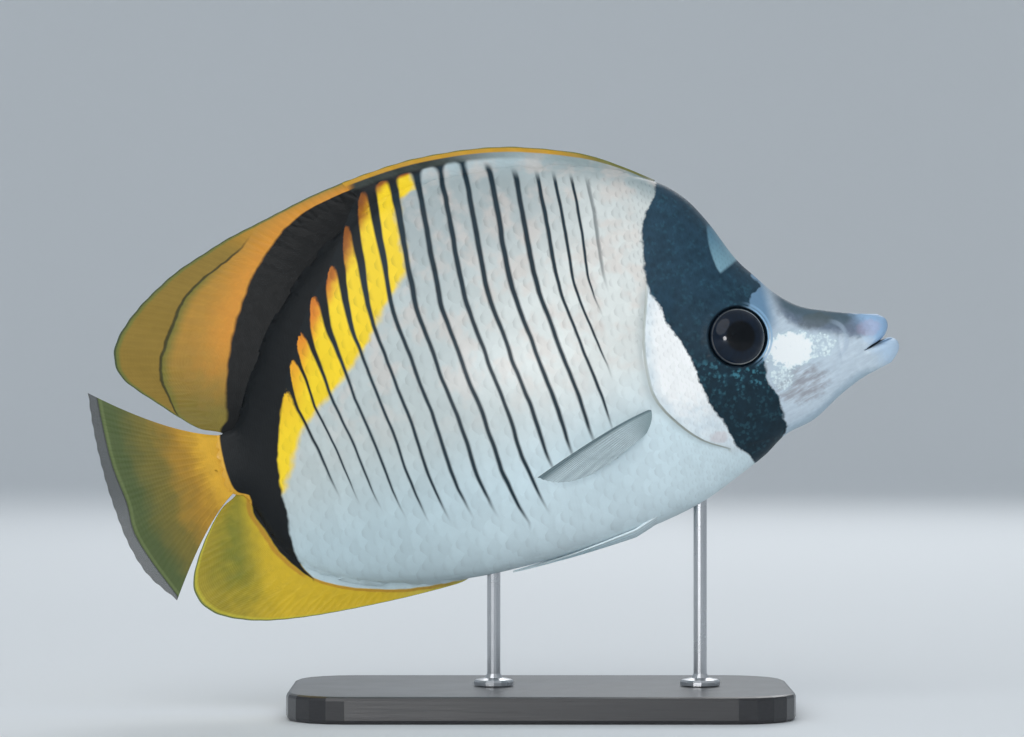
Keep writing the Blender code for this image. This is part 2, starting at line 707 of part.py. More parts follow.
def stand_rod(name, x, fish, owner, material):
    """A turned steel rod with a foot, from the base up into its socket in the belly. x is along the fish."""
    belly = fish.matrix_world @ Vector((x, 0, smooth(BELLY_LINE, x)))
    bottom = BASE_THICKNESS + GAP
    top = belly.z + ROD_SOCKET - GAP
    profile = [
        (0.0, top), (ROD_RADIUS - 0.0003, top), (ROD_RADIUS, top - 0.0004), (ROD_RADIUS, bottom + 0.0034),
        (ROD_RADIUS * 1.35, bottom + 0.0022), (ROD_FOOT - 0.0005, bottom + 0.0016),
        (ROD_FOOT, bottom + 0.0010), (ROD_FOOT, bottom), (0.0, bottom),
    ]
    data = bpy.data.meshes.new(name)
    edges = [(k, k + 1) for k in range(len(profile) - 1)]
    data.from_pydata([(r, 0, z) for r, z in profile], edges, [])
    data.materials.append(material)
    rod = bpy.data.objects.new(name, data)
    rod.location = (belly.x, 0, 0)
    owner.objects.link(rod)
    turn = rod.modifiers.new("Turn", "SCREW")
    turn.steps = turn.render_steps = 16
    turn.use_merge_vertices = True
    turn.merge_threshold = 0.00001
    turn.use_smooth_shade = True
    return rod


def build():
    """Makes every node."""
    clear_scene()
    model = new_collection("lined_butterflyfish")
    cutters = new_collection("cutters")
    skin = finish("white_skin", WHITE_SKIN)
    yellow = finish("yellow_fin", YELLOW_FIN)
    clear = finish("clear_fin", CLEAR_FIN)
    dark = finish("dark_eye", DARK_EYE)
    lip = finish("pale_lip", PALE_LIP)
    steel = finish("bright_steel", BRIGHT_STEEL)

    fish = bpy.data.objects.new("fish", None)
    model.objects.link(fish)
    fish.location = (FISH_FORWARD, 0, FISH_HEIGHT)
    fish.rotation_euler = (0, -PITCH, 0)
    bpy.context.view_layer.update()

    half_gap = GAP * 0.75
    even = [k / 23 for k in range(24)]
    torso = body_piece("torso", flat_cut(TAIL_CUT), gill_cut(-half_gap), [s ** 1.2 for s in even], model, skin, fish)
    head_shares = [1 - (1 - k / 19) ** 1.1 for k in range(20)]
    head = body_piece("head", gill_cut(half_gap), flat_cut(SNOUT_CUT), head_shares, model, skin, fish)
    body_piece("tail_base", flat_cut(TAIL_ROOT_X + GAP), flat_cut(TAIL_CUT - GAP), [k / 5 for k in range(6)],
               model, skin, fish)
    jaw(UPPER_JAW, "upper_jaw", model, lip, fish)
    jaw(LOWER_JAW, "lower_jaw", model, lip, fish)

    opening = gill_cut(0)(0.5)
    plate = [level_share(k, opening) for k in range(GILL_COVER_LEVELS[0], GILL_COVER_LEVELS[1] + 1)]
    hollow = [plate[0] - RECESS_PAST, *plate[1:-1], plate[-1] + RECESS_PAST]
    for side, word in ((-1, "right"), (1, "left")):
        joined(head, orbit_rim(side, cutters, fish), "UNION")
        joined(head, eyeball(side, GAP, "socket_" + word, cutters, None, fish), "DIFFERENCE")
        eyeball(side, 0.0, "eye_" + word, model, dark, fish)
        flank_patch(plate, (lambda s: smooth(CHEEK_EDGE, s), gill_cut(half_gap)),
                    (GILL_COVER_PROUD, GILL_COVER_PROUD - GILL_COVER_THICKNESS), side, GILL_COVER_COLUMNS,
                    "gill_cover_" + word, model, skin, fish)
        recess = flank_patch(hollow, (lambda s: smooth(CHEEK_EDGE, s) + GAP, gill_cut(-0.002)),
                             (0.003, GILL_COVER_PROUD - GILL_COVER_THICKNESS - GAP), side, GILL_COVER_COLUMNS,
                             "recess_" + word, cutters, None, fish)
        joined(head, recess, "DIFFERENCE")
        for number, (x, z) in enumerate(NOSTRILS):
            normal = flank_normal(x, z)
            spot = Vector((x, half_width(x, z), z)) - normal * NOSTRIL_DEPTH
            normal.y *= side
            spot.y *= side
            matrix = Matrix.Translation(spot) @ normal.to_track_quat("Z", "Y").to_matrix().to_4x4()
            pit = cylinder(NOSTRIL_RADIUS, 2 * NOSTRIL_DEPTH, 8, f"nostril_{word}_{number}", cutters, None, matrix, fish)
            joined(head, pit, "DIFFERENCE")
        pectoral(side, model, clear, fish)
        pelvic(side, model, clear, fish)

    dorsal_spiny(model, yellow, fish)
    dorsal_soft(model, yellow, fish)
    anal(model, yellow, fish)
    tail(model, yellow, fish)

    rounded_box("stand_base", model, finish("satin_black", SATIN_BLACK))
    for name, x in ROD_PLACES.items():
        rod = stand_rod(name, x, fish, model, steel)
        belly = (fish.matrix_world @ Vector((x, 0, smooth(BELLY_LINE, x)))).z
        hole = cylinder(ROD_RADIUS + GAP, 2 * ROD_SOCKET, 20, name + "_socket", cutters, None,
                        Matrix.Translation((rod.location.x, 0, belly - ROD_SOCKET)))
        joined(torso, hole, "DIFFERENCE")


build()
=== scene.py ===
"""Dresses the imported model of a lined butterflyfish: skin, scales, fins, eyes, stand and a plain studio.

The fish is shaped level, in millimetres: x runs from tail to snout, y to its left and z up, with the origin
half way along its length. FishPose pitches it nose up and lifts it over the stand, into the frame's metres.
"""
import logging
import math
from dataclasses import dataclass
from enum import Enum
from typing import Any, Callable, Sequence

import bpy
import numpy as np
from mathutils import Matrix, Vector


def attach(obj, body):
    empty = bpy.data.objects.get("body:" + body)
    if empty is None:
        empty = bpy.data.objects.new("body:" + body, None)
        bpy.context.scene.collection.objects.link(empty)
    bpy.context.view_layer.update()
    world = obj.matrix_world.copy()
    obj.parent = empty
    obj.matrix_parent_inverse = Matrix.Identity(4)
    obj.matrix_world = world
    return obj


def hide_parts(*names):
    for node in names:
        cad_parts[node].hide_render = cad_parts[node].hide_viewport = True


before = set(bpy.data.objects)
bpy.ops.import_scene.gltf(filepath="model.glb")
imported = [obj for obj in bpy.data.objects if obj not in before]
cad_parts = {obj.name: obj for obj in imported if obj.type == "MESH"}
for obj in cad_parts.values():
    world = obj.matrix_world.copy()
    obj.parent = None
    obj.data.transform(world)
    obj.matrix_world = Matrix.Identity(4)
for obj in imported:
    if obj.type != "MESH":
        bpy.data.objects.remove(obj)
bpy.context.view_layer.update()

Array = np.ndarray
Number = float | Array
Pair = tuple[float, float]
Triple = tuple[float, float, float]
Colour = tuple[float, float, float, float]
Material = bpy.types.Material
Piece = bpy.types.Object

BODY = "root"
MAP_NAME = "OFBake"
LOG = logging.getLogger("butterflyfish")


class Side(Enum):
    """The fish's two sides, by the sign of y."""

    RIGHT = -1
    LEFT = 1


def mixed(a: Number, b: Number, share: Number) -> Number:
    """The value that lies at a share of the way from a to b."""
    return a + (b - a) * share


def eased(low: float, high: float, value: Number) -> Number:
    """A smooth step from 0 at low to 1 at high."""
    t = np.clip((value - low) / (high - low), 0.0, 1.0)
    return t * t * (3 - 2 * t)


def dome(share: Number) -> Number:
    """A quarter round that rises from 0 at share 0 to 1 at share 1."""
    return np.sqrt(1 - (1 - np.clip(share, 0.0, 1.0)) ** 2)


def hill(far: Number) -> Number:
    """A soft bump of height 1 at distance 0, about one unit wide."""
    return np.exp(-(far * far))


def rows_of(*values: Number) -> Array:
    """Rows made of one value from each table."""
    return np.stack(np.broadcast_arrays(*values), axis=-1)


def length(rows: Array) -> Array:
    """The length of each row."""
    return np.linalg.norm(rows, axis=-1)


def run_of(points: Array) -> Array:
    """How far along a line of points each one lies."""
    return np.concatenate([[0], np.cumsum(length(np.diff(points, axis=0)))])


def pairs(*numbers: float) -> tuple[Pair, ...]:
    """Points from numbers that give the first and second value of each in turn."""
    return tuple(zip(numbers[::2], numbers[1::2]))


@dataclass(frozen=True)
class Profile:
    """A smooth curve through measured points, sorted along their first value and level past its ends."""

    points: tuple[Pair, ...]

    def __call__(self, at: Number) -> Array:
        """Reads the curve.

        Args:
            at: places along the curve's first axis.

        Returns:
            The curve's heights there.
        """
        place, height = np.array(self.points, float).T
        last = len(place) - 1
        low = np.maximum(np.arange(last + 1) - 1, 0)
        high = np.minimum(np.arange(last + 1) + 1, last)
        slope = (height[high] - height[low]) / (place[high] - place[low])
        at = np.clip(at, place[0], place[-1])
        k = np.clip(np.searchsorted(place, at, side="right") - 1, 0, last - 1)
        width = place[k + 1] - place[k]
        t = (at - place[k]) / width
        return (height[k] * (1 + 2 * t) * (1 - t) ** 2 + slope[k] * width * t * (1 - t) ** 2
                + height[k + 1] * t * t * (3 - 2 * t) + slope[k + 1] * width * t * t * (t - 1))

    def samples(self, steps: int = 3) -> list[Pair]:
        """Points of the curve at its own knots and at steps between them."""
        knots = np.array([p[0] for p in self.points])
        places = np.interp(np.arange((len(knots) - 1) * steps + 1) / steps, np.arange(len(knots)), knots)
        return [(float(x), float(y)) for x, y in zip(places, self(places))]


def profile(*numbers: float) -> Profile:
    """A profile through points given as place and height in turn, in any order."""
    return Profile(tuple(sorted(pairs(*numbers))))


@dataclass(frozen=True)
class FishPose:
    """How the level fish is pitched and lifted over its stand, in degrees and millimetres."""

    pitch: float = 11.0
    forward: float = 5.46
    height: float = 91.0

    def place(self, points: Array) -> Array:
        """Carries rows of x, y, z on the level fish, in millimetres, into the frame, in metres."""
        turn = math.radians(self.pitch)
        x, y, z = np.moveaxis(points, -1, 0)
        forward = x * math.cos(turn) - z * math.sin(turn) + self.forward
        up = x * math.sin(turn) + z * math.cos(turn) + self.height
        return rows_of(forward, y, up) / 1000

    def level(self, shade: "ShaderTree") -> tuple["Wire", "Wire", "Wire"]:
        """Reads a shaded point's x, y and z on the level fish, in millimetres."""
        turn = math.radians(self.pitch)
        ahead, side, up = shade.split(shade.object_place() - (self.forward, 0.0, self.height))
        cos, sin = math.cos(turn), math.sin(turn)
        return ahead * cos + up * sin, side, up * cos - ahead * sin


@dataclass(frozen=True)
class FishBody:
    """The flesh as measured: its side outline, its widths and the shape of its sections, as in the solids."""

    back: Profile = profile(
        -88.5, 9.2, -84.5, 9.6, -81.5, 11.8, -76.5, 21.5, -67, 37.1, -54.8, 50.5, -40.5, 62, -24, 69,
        -5, 71.8, 16.5, 70.4, 39.5, 65, 55.5, 58.5, 63, 52, 68.4, 43.6, 74.2, 31.8, 79, 25.2, 84, 19,
        90, 14.2, 97.5, 11.2, 104, 9.2)
    belly: Profile = profile(
        -88.5, -9, -84.5, -9.7, -81.5, -13.5, -77.5, -23.5, -70, -33.5, -57.5, -40.8, -43, -44.7,
        -21.5, -47.4, 5, -46.4, 26.5, -44, 39.5, -41.5, 51, -38.2, 63, -32.6, 72, -28, 79, -23.2,
        88.5, -20.2, 97.5, -14.6, 104, -11.2)
    width: Profile = profile(
        -88.5, 2.7, -80, 4, -65, 7.2, -45, 11.2, -20, 14.8, 5, 16.5, 30, 17, 45, 16.4, 58, 14.8, 70, 12.2,
        80, 9.2, 90, 6.7, 98, 5.4, 104, 4.7)
    level: Profile = profile(-88.5, 0.5, -40, 0.48, 20, 0.46, 55, 0.5, 75, 0.52, 104, 0.52)
    back_strip: Profile = profile(-88.5, 1.2, 45, 1.3, 60, 0.9, 72, 0.5, 104, 0.5)
    belly_strip: Profile = profile(-88.5, 1.2, -20, 1.2, -5, 0.9, 30, 0.8, 104, 0.5)
    back_edge: Profile = profile(-88.5, 1.1, -40, 1.3, 30, 1.25, 60, 1, 104, 0.95)
    belly_edge: Profile = profile(-88.5, 1.1, -40, 1.15, 10, 0.95, 50, 0.9, 104, 0.9)
    eye_centre: Pair = (69.9, 8.4)
    eye_swell: float = 1.2
    eye_reach: float = 12.5

    def skew(self, x: Number) -> Number:
        """Power that lifts or lowers the widest level of a section."""
        return np.log(self.level(x)) / math.log(0.5)

    def section(self, x: Number, share: Number) -> Number:
        """Half width of the flesh at a share of the way up its section, without the swelling at the eye."""
        turn = 1 - 2 * np.clip(share, 0.0, 1.0) ** (1 / self.skew(x))
        strip = np.where(turn < 0, self.back_strip(x), self.belly_strip(x))
        edge = np.where(turn < 0, self.back_edge(x), self.belly_edge(x))
        return mixed(strip, self.width(x), np.sqrt(np.maximum(1 - turn * turn, 0)) ** edge)

    def half(self, x: Number, z: Number) -> Number:
        """Half width of the flesh at a point of the side view."""
        low, high = self.belly(x), self.back(x)
        far = np.hypot(x - self.eye_centre[0], z - self.eye_centre[1]) / self.eye_reach
        return self.section(x, (z - low) / (high - low)) + self.eye_swell * hill(far)

    def normal(self, x: Number, z: Number, step: float = 0.5) -> Array:
        """Outward normal of the left flank, read over a step each way, as rows of length 1."""
        ahead = self.half(x + step, z) - self.half(x - step, z)
        above = self.half(x, z + step) - self.half(x, z - step)
        way = rows_of(-ahead, 2 * step, -above)
        return way / length(way)[..., None]

    def unwrap(self, x: Number, z: Number, side: Side) -> Array:
        """Place of a point of the skin on the unwrapped skin, each side laid flat from its widest level.

        Args:
            x: places along the fish.
            z: heights.
            side: the side the points are on.

        Returns:
            Rows of map places from 0 to 1.
        """
        low, high = self.belly(x), self.back(x)
        out = np.maximum(self.width(x) - self.section(x, (z - low) / (high - low)), 0)
        height = z + np.sign(z - mixed(low, high, self.level(x))) * out
        up = np.clip((height + 66) / 160, 0, 1)
        return rows_of(0.01 + 0.98 * ((x + 92) / 214), (0.01 if side is Side.RIGHT else 0.51) + 0.48 * up)


class Clay:
    """A mesh as it is put together, in the millimetres of the level fish."""

    def __init__(self) -> None:
        """Starts with no points."""
        self.points: list[Array] = []
        self.faces: list[Array] = []
        self.corners: list[Array] = []
        self.notes: dict[str, list[Array]] = {}
        self.count = 0

    def add(self, points: Array, faces: Sequence[Array], corners: Sequence[Array], **notes: Array) -> None:
        """Adds points and the faces between them.

        Args:
            points: rows of x, y, z.
            faces: tables of point numbers that start from 0 in this block, each of one number of corners.
            corners: the map place of each corner, one table for each of faces.
            notes: named rows of three values for each point, which materials read.
        """
        self.points.append(points.reshape(-1, 3))
        for table, places in zip(faces, corners):
            self.faces.append(table + self.count)
            self.corners.append(places.reshape(-1, 2))
        for name, values in notes.items():
            self.notes.setdefault(name, []).append(values.reshape(-1, 3))
        self.count += len(self.points[-1])

    def into(self, name: str, material: Material, pose: FishPose, slot: str) -> Piece:
        """Turns the mesh into a piece that rides on the fish.

        Args:
            name: the piece's name.
            material: its finish.
            pose: carries it into the frame.
            slot: a material slot's name; not used.

        Returns:
            The piece.
        """
        mesh = bpy.data.meshes.new(name)
        places = pose.place(np.concatenate(self.points)).astype(np.float32)
        mesh.vertices.add(len(places))
        mesh.vertices.foreach_set("co", places.ravel())
        sizes = np.concatenate([np.full(len(table), table.shape[1]) for table in self.faces])
        corners = np.concatenate([table.ravel() for table in self.faces])
        mesh.loops.add(len(corners))
        mesh.loops.foreach_set("vertex_index", corners.astype(np.int32))
        mesh.polygons.add(len(sizes))
        mesh.polygons.foreach_set("loop_start", (np.cumsum(sizes) - sizes).astype(np.int32))
        mesh.update(calc_edges=True)
        layer = mesh.uv_layers.new(name=MAP_NAME)
        layer.data.foreach_set("uv", np.concatenate(self.corners).astype(np.float32).ravel())
        for label, values in self.notes.items():
            made = mesh.attributes.new(label, "FLOAT_VECTOR", "POINT")
            made.data.foreach_set("vector", np.concatenate(values).astype(np.float32).ravel())
        mesh.validate()
        mesh.shade_smooth()
        mesh.set_sharp_from_angle(angle=math.radians(70))
        mesh.materials.append(material)
        piece = bpy.data.objects.new(name, mesh)
        bpy.context.scene.collection.objects.link(piece)
        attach(piece, BODY)
        LOG.info("%s: %d faces", name, len(mesh.polygons))
        return piece


def grid(rows: int, columns: int, around: bool = False) -> Array:
    """Faces between the points of a grid, as rows of four point numbers.

    Args:
        rows: number of rows of points.
        columns: number of points in a row.
        around: whether each row closes on itself.

    Returns:
        The faces.
    """
    i, j = np.meshgrid(np.arange(rows - 1), np.arange(columns if around else columns - 1), indexing="ij")
    following = (j + 1) % columns
    table = [i * columns + j, (i + 1) * columns + j, (i + 1) * columns + following, i * columns + following]
    return np.stack([part.ravel() for part in table], axis=1)


def rim_of(rows: int, columns: int) -> Array:
    """The numbers of a grid's outer points, in order round it."""
    table = np.arange(rows * columns).reshape(rows, columns)
    return np.concatenate([table[0], table[1:, -1], table[-1, -2::-1], table[-2:0:-1, 0]])


def tiny_maps(starts: Array, wide: float, high: float) -> Array:
    """A small patch of the map for each face, from the place of its first corner."""
    return starts[:, :1] + np.array([[0, 0], [wide, 0], [wide, high], [0, high]])


def joined(operation: str, reflected: bool = False) -> Callable[["Wire", Any], "Wire"]:
    """An operator of Wire that joins two values in a maths node, in the other order if reflected."""
    def apply(wire: "Wire", other: Any) -> "Wire":
        """Joins the two."""
        return wire.shade.maths(operation, *((other, wire) if reflected else (wire, other)))
    return apply


class Wire:
    """A node's output in a shader expression."""

    def __init__(self, shade: "ShaderTree", socket: bpy.types.NodeSocket) -> None:
        """Wraps a socket of a tree."""
        self.shade = shade
        self.socket = socket

    __add__, __radd__ = joined("ADD"), joined("ADD", True)
    __sub__, __rsub__ = joined("SUBTRACT"), joined("SUBTRACT", True)
    __mul__, __rmul__ = joined("MULTIPLY"), joined("MULTIPLY", True)
    __truediv__ = joined("DIVIDE")

    def __abs__(self) -> "Wire":
        """The size without its sign."""
        return self.maths("ABSOLUTE")

    def maths(self, operation: str, *others: Any) -> "Wire":
        """The result of a maths node that starts with this value."""
        return self.shade.maths(operation, self, *others)

    def step(self, low: float, high: float) -> "Wire":
        """A smooth step from 0 at low to 1 at high, which may be the smaller."""
        settings = {"interpolation_type": "SMOOTHSTEP"}
        return self.shade.node("ShaderNodeMapRange", settings, {0: self, 1: low, 2: high})

    def clamp(self) -> "Wire":
        """The value kept between 0 and 1."""
        return self.shade.node("ShaderNodeClamp", inputs={0: self})

    def wave(self) -> "Wire":
        """A wave between 0 and 1 that runs once over each turn of this value."""
        return self.maths("SINE") * 0.5 + 0.5

    def lay(self, under: Any, over: Any) -> "Wire":
        """A colour that goes from under to over as this mask goes from 0 to 1."""
        return self.shade.node("ShaderNodeMix", {"data_type": "RGBA"}, {0: self, 6: under, 7: over}, output=2)

    def tint(self, colour: Any) -> "Wire":
        """A colour made lighter or darker by this factor."""
        return self.shade.node("ShaderNodeVectorMath", {"operation": "SCALE"}, {0: colour, 3: self})

    def read(self, line: Profile) -> "Wire":
        """The height of a profile at this value."""
        places, heights = zip(*line.samples())
        first, reach = places[0], places[-1] - places[0]
        low = min(heights)
        span = max(max(heights) - low, 1e-6)
        placed = [((x - first) / reach, (y - low) / span) for x, y in zip(places, heights)]
        inputs = {1: (self - first) / reach}
        return self.shade.node("ShaderNodeFloatCurve", {"curve": placed}, inputs) * span + low

    def bump(self, depth: float) -> "Wire":
        """A normal from this height of 0 to 1, which stands for a depth in millimetres."""
        inputs = {"Height": self, "Distance": depth / 1000, "Strength": 1.0}
        return self.shade.node("ShaderNodeBump", inputs=inputs)


def layered(ground: Any, *coats: tuple[Wire, Any]) -> Wire:
    """Colours laid over a ground in turn, each as far as its mask goes."""
    for mask, colour in coats:
        ground = mask.lay(ground, colour)
    return ground


class ShaderTree:
    """A material's node tree, written as expressions."""

    def __init__(self, name: str) -> None:
        """Makes an empty material."""
        self.material = bpy.data.materials.new(name)
        self.material.use_nodes = True
        self.tree = self.material.node_tree
        self.tree.nodes.clear()

    def node(self, kind: str, settings: dict[str, Any] | None = None, inputs: dict[Any, Any] | None = None,
             output: int | str = 0) -> Wire:
        """Adds a node.

        Args:
            kind: the node's type.
            settings: its own settings, set first; curve fills a float curve.
            inputs: values or wires by socket name or number.
            output: the socket that is returned.

        Returns:
            The chosen output.
        """
        made = self.tree.nodes.new(kind)
        for name, value in (settings or {}).items():
            if name == "curve":
                self.fill_curve(made.mapping, value)
            else:
                setattr(made, name, value)
        for name, value in (inputs or {}).items():
            socket = made.inputs[name]
            if isinstance(value, Wire):
                self.tree.links.new(value.socket, socket)
            elif socket.type == "VECTOR":
                socket.default_value = value[:3] if isinstance(value, tuple) else (value, value, value)
            else:
                socket.default_value = value
        return Wire(self, made.outputs[output])

    @staticmethod
    def fill_curve(mapping: bpy.types.CurveMapping, points: Sequence[Pair]) -> None:
        """Sets a curve's points, joined by straight runs."""
        mapping.extend = "HORIZONTAL"
        line = mapping.curves[0].points
        while len(line) < len(points):
            line.new(1.0, 1.0)
        for knot, place in zip(line, points):
            knot.location = place
            knot.handle_type = "VECTOR"
        mapping.update()

    def maths(self, operation: str, *values: Any) -> Wire:
        """A sum on numbers, or on vectors and colours if any value is one."""
        vector = any(isinstance(v, tuple) or isinstance(v, Wire) and v.socket.type != "VALUE" for v in values)
        kind = "ShaderNodeVectorMath" if vector else "ShaderNodeMath"
        return self.node(kind, {"operation": operation}, dict(enumerate(values)))

    def split(self, vector: Wire) -> tuple[Wire, Wire, Wire]:
        """The three values of a vector."""
        made = self.node("ShaderNodeSeparateXYZ", inputs={0: vector})
        return tuple(Wire(self, socket) for socket in made.socket.node.outputs)

    def join(self, x: Any, y: Any, z: Any) -> Wire:
        """A vector from three values."""
        return self.node("ShaderNodeCombineXYZ", inputs={0: x, 1: y, 2: z})

    def noise(self, place: Wire, size: float, detail: float = 2.0, rough: float = 0.5) -> Wire:
        """Soft noise from 0 to 1 with blotches of about a size, in the units of place."""
        return self.node("ShaderNodeTexNoise", {"noise_dimensions": "3D"},
                         {"Vector": place, "Scale": 1 / size, "Detail": detail, "Roughness": rough})

    def object_place(self) -> Wire:
        """The point's place on the object, in millimetres."""
        return self.node("ShaderNodeTexCoord", output="Object") * 1000

    def note(self, name: str) -> tuple[Wire, Wire, Wire]:
        """A mesh's own three values at a point, 0 where it has none."""
        return self.split(self.node("ShaderNodeAttribute", {"attribute_name": name}, output="Vector"))

    def finish(self, **sockets: Any) -> Material:
        """Ends the material in one Principled shader, given values or wires by socket name, _ for a space."""
        inputs = {name.replace("_", " "): value for name, value in sockets.items()}
        shader = self.node("ShaderNodeBsdfPrincipled", inputs=inputs)
        out = self.tree.nodes.new("ShaderNodeOutputMaterial")
        self.tree.links.new(shader.socket, out.inputs["Surface"])
        return self.material


def paint(red: float, green: float, blue: float) -> Colour:
    """A colour from the 0 to 255 values that a screen shows."""
    def linear(value: float) -> float:
        """The share of light for a screen's value."""
        share = value / 255
        return share / 12.92 if share <= 0.04045 else ((share + 0.055) / 1.055) ** 2.4
    return (linear(red), linear(green), linear(blue), 1.0)


class Spot:
    """A shaded point of the level fish, in millimetres, and the tree that colours it."""

    def __init__(self, name: str, pose: FishPose) -> None:
        """Starts a material by a name and reads the point's place."""
        self.shade = ShaderTree(name)
        self.x, self.y, self.z = pose.level(self.shade)
        self.place = self.shade.join(self.x, self.y, self.z)

    def noise(self, size: float, detail: float = 2.0, rough: float = 0.5) -> Wire:
        """Soft noise from 0 to 1 with blotches of about a size."""
        return self.shade.noise(self.place, size, detail, rough)

    def cells(self, size: float) -> Wire:
        """Distance in a pattern of cells of about a size."""
        inputs = {"Vector": self.place, "Scale": 1 / size}
        return self.shade.node("ShaderNodeTexVoronoi", {"feature": "F1"}, inputs)

    def past(self, edge: Profile) -> Wire:
        """How far the point is in front of an edge that gives x for a height."""
        return self.x - self.z.read(edge)

    def behind(self, edge: Profile) -> Wire:
        """How far the point is behind an edge that gives x for a height."""
        return self.z.read(edge) - self.x

    def under(self, edge: Profile) -> Wire:
        """How far the point is under an edge that gives the height for an x."""
        return self.x.read(edge) - self.z

    def far(self, x: float, z: float) -> Wire:
        """How far the point is from a place of the side view."""
        across, up = self.x - x, self.z - z
        return (across * across + up * up).maths("SQRT")

    def patch(self, x: float, z: float, wide: float, high: float, ragged: Wire) -> Wire:
        """A soft oval patch: 1 inside and 0 outside, with an edge that a noise breaks.

        Args:
            x: the patch's middle along the fish.
            z: the middle's height.
            wide: half the patch's length.
            high: half its height.
            ragged: the noise.

        Returns:
            The mask.
        """
        across, up = (self.x - x) / wide, (self.z - z) / high
        return (across * across + up * up + (ragged - 0.5) * 1.2).step(1.25, 0.35)


@dataclass(frozen=True)
class Markings:
    """Where the fish's bands, lines and patches run, in millimetres of the level fish.

    Each edge gives x for a height z, but anal_edge and dorsal_margin give the height for an x. line_places
    are the x of the lines at the level of z 0, and line_half and line_ends are read there.
    """

    band_rear: Profile = profile(
        78, -6.8, 76.2, -19.4, 73.8, -35.2, 69.3, -51.3, 59.5, -63.9, 47.5, -73, 33.5, -79.7, 19, -83.7,
        12.8, -84.9, 10.8, -87.1, 3.3, -87.7, -4.8, -87, -8.8, -85.4, -10.3, -82.1, -15.8, -82.1,
        -20.8, -79.8, -28.5, -76.7, -34.5, -72.4, -38.5, -68.4)
    band_front: Profile = profile(
        78, -6.8, 75.8, -17.4, 74.8, -24.9, 72.3, -32.4, 62.9, -39.1, 50.9, -46.3, 44.1, -52.2, 35.3, -57.6,
        25.6, -62.6, 15.7, -66.6, 2.4, -70.7, -9.2, -72.2, -17.8, -71.9, -27.1, -72.2, -34.2, -70.8,
        -38.5, -68)
    yellow_edge: Profile = profile(
        80, -17, 74, -16.6, 70.2, -16, 67.6, -21.6, 47, -22.8, 41.5, -27.5, 35.9, -32.1, 28.4, -37.9,
        21.2, -44.8, 16.4, -50, 11.5, -55.8, 7, -61, 3, -64.2, -8.7, -70.1, -14, -74)
    line_lean: Profile = profile(
        75, -6, 60, -5.9, 47, -6.1, 35, -6, 28, -5, 20, -3.5, 12, -2.3, 5, -0.9, 0, 0, -8, 1, -17, 2.3,
        -26, 4.5, -34, 7.2)
    line_places: tuple[float, ...] = (
        41, 36.6, 31.6, 26.7, 20.2, 12.9, 5.6, -1.5, -8.7, -16.1, -23, -29.9, -36.2, -43, -49.5, -55.2, -60.2)
    line_gap: float = 6.9
    line_half: Profile = profile(-60, 0.46, -36, 0.58, -16, 0.7, 0, 0.7, 20, 0.72, 41, 0.58)
    line_ends: Profile = profile(
        45, 34, 37, 26, 31, 4, 27, -10, 20, -14, 13, -17, 5, -20, -1.5, -30, -8.7, -34, -16, -28, -36, -26,
        -49, -20, -60, -14)
    eye_bar_rear: Profile = profile(
        64, 56, 59, 55.2, 53.5, 53.2, 49.6, 49.7, 42.4, 47.4, 35, 46.5, 27.4, 46.3, 22.4, 48.4, 16, 49.9,
        9.2, 53.1, 3.7, 55.1, -3.6, 56.4, -8.5, 57.6, -11.7, 58.8, -16.8, 61.5, -22.7, 63.1, -26.3, 66.1,
        -30, 68.5)
    eye_bar_front: Profile = profile(
        30, 92, 27.5, 84, 25.8, 77.8, 22.3, 80.1, 19.9, 76.6, 15.7, 74.9, 12.9, 76.8, 9, 78.1, 3.2, 76.1,
        -0.5, 76.6, -5.9, 76.2, -11, 78.5, -18.8, 79.2, -22.4, 79.1, -27, 74.5, -30, 71)
    blaze_rear: Profile = profile(43.1, 67.4, 40, 67, 35.6, 66.8, 30, 67.6, 27.4, 68.6)
    gill_edge: Profile = profile(
        30, 46.6, 23.6, 45.1, 11.8, 42.1, -0.6, 41.6, -6.5, 43, -13.7, 47.8, -19.9, 54.1, -23.8, 61.4)
    anal_edge: Profile = profile(
        -71.8, -35.9, -63.6, -40.8, -55, -44, -43.3, -46.6, -34.3, -47.3, -22.3, -47.5, -17, -47.5)
    dorsal_margin: Profile = profile(
        55.2, 59.2, 45.7, 65.5, 34.7, 71.4, 17.4, 76.7, 5.5, 78.7, -6.6, 79.4, -18.8, 79.1, -34.2, 77,
        -48, 74, -62.2, 69.9)

    def line_order(self) -> Profile:
        """The number of the line at a place, half way between two lines past the first and the last."""
        places = (self.line_places[0] + 4, *self.line_places, self.line_places[-1] - 4)
        count = len(self.line_places)
        return Profile(tuple(sorted(zip(places, (-0.5, *range(count), count - 0.5)))))


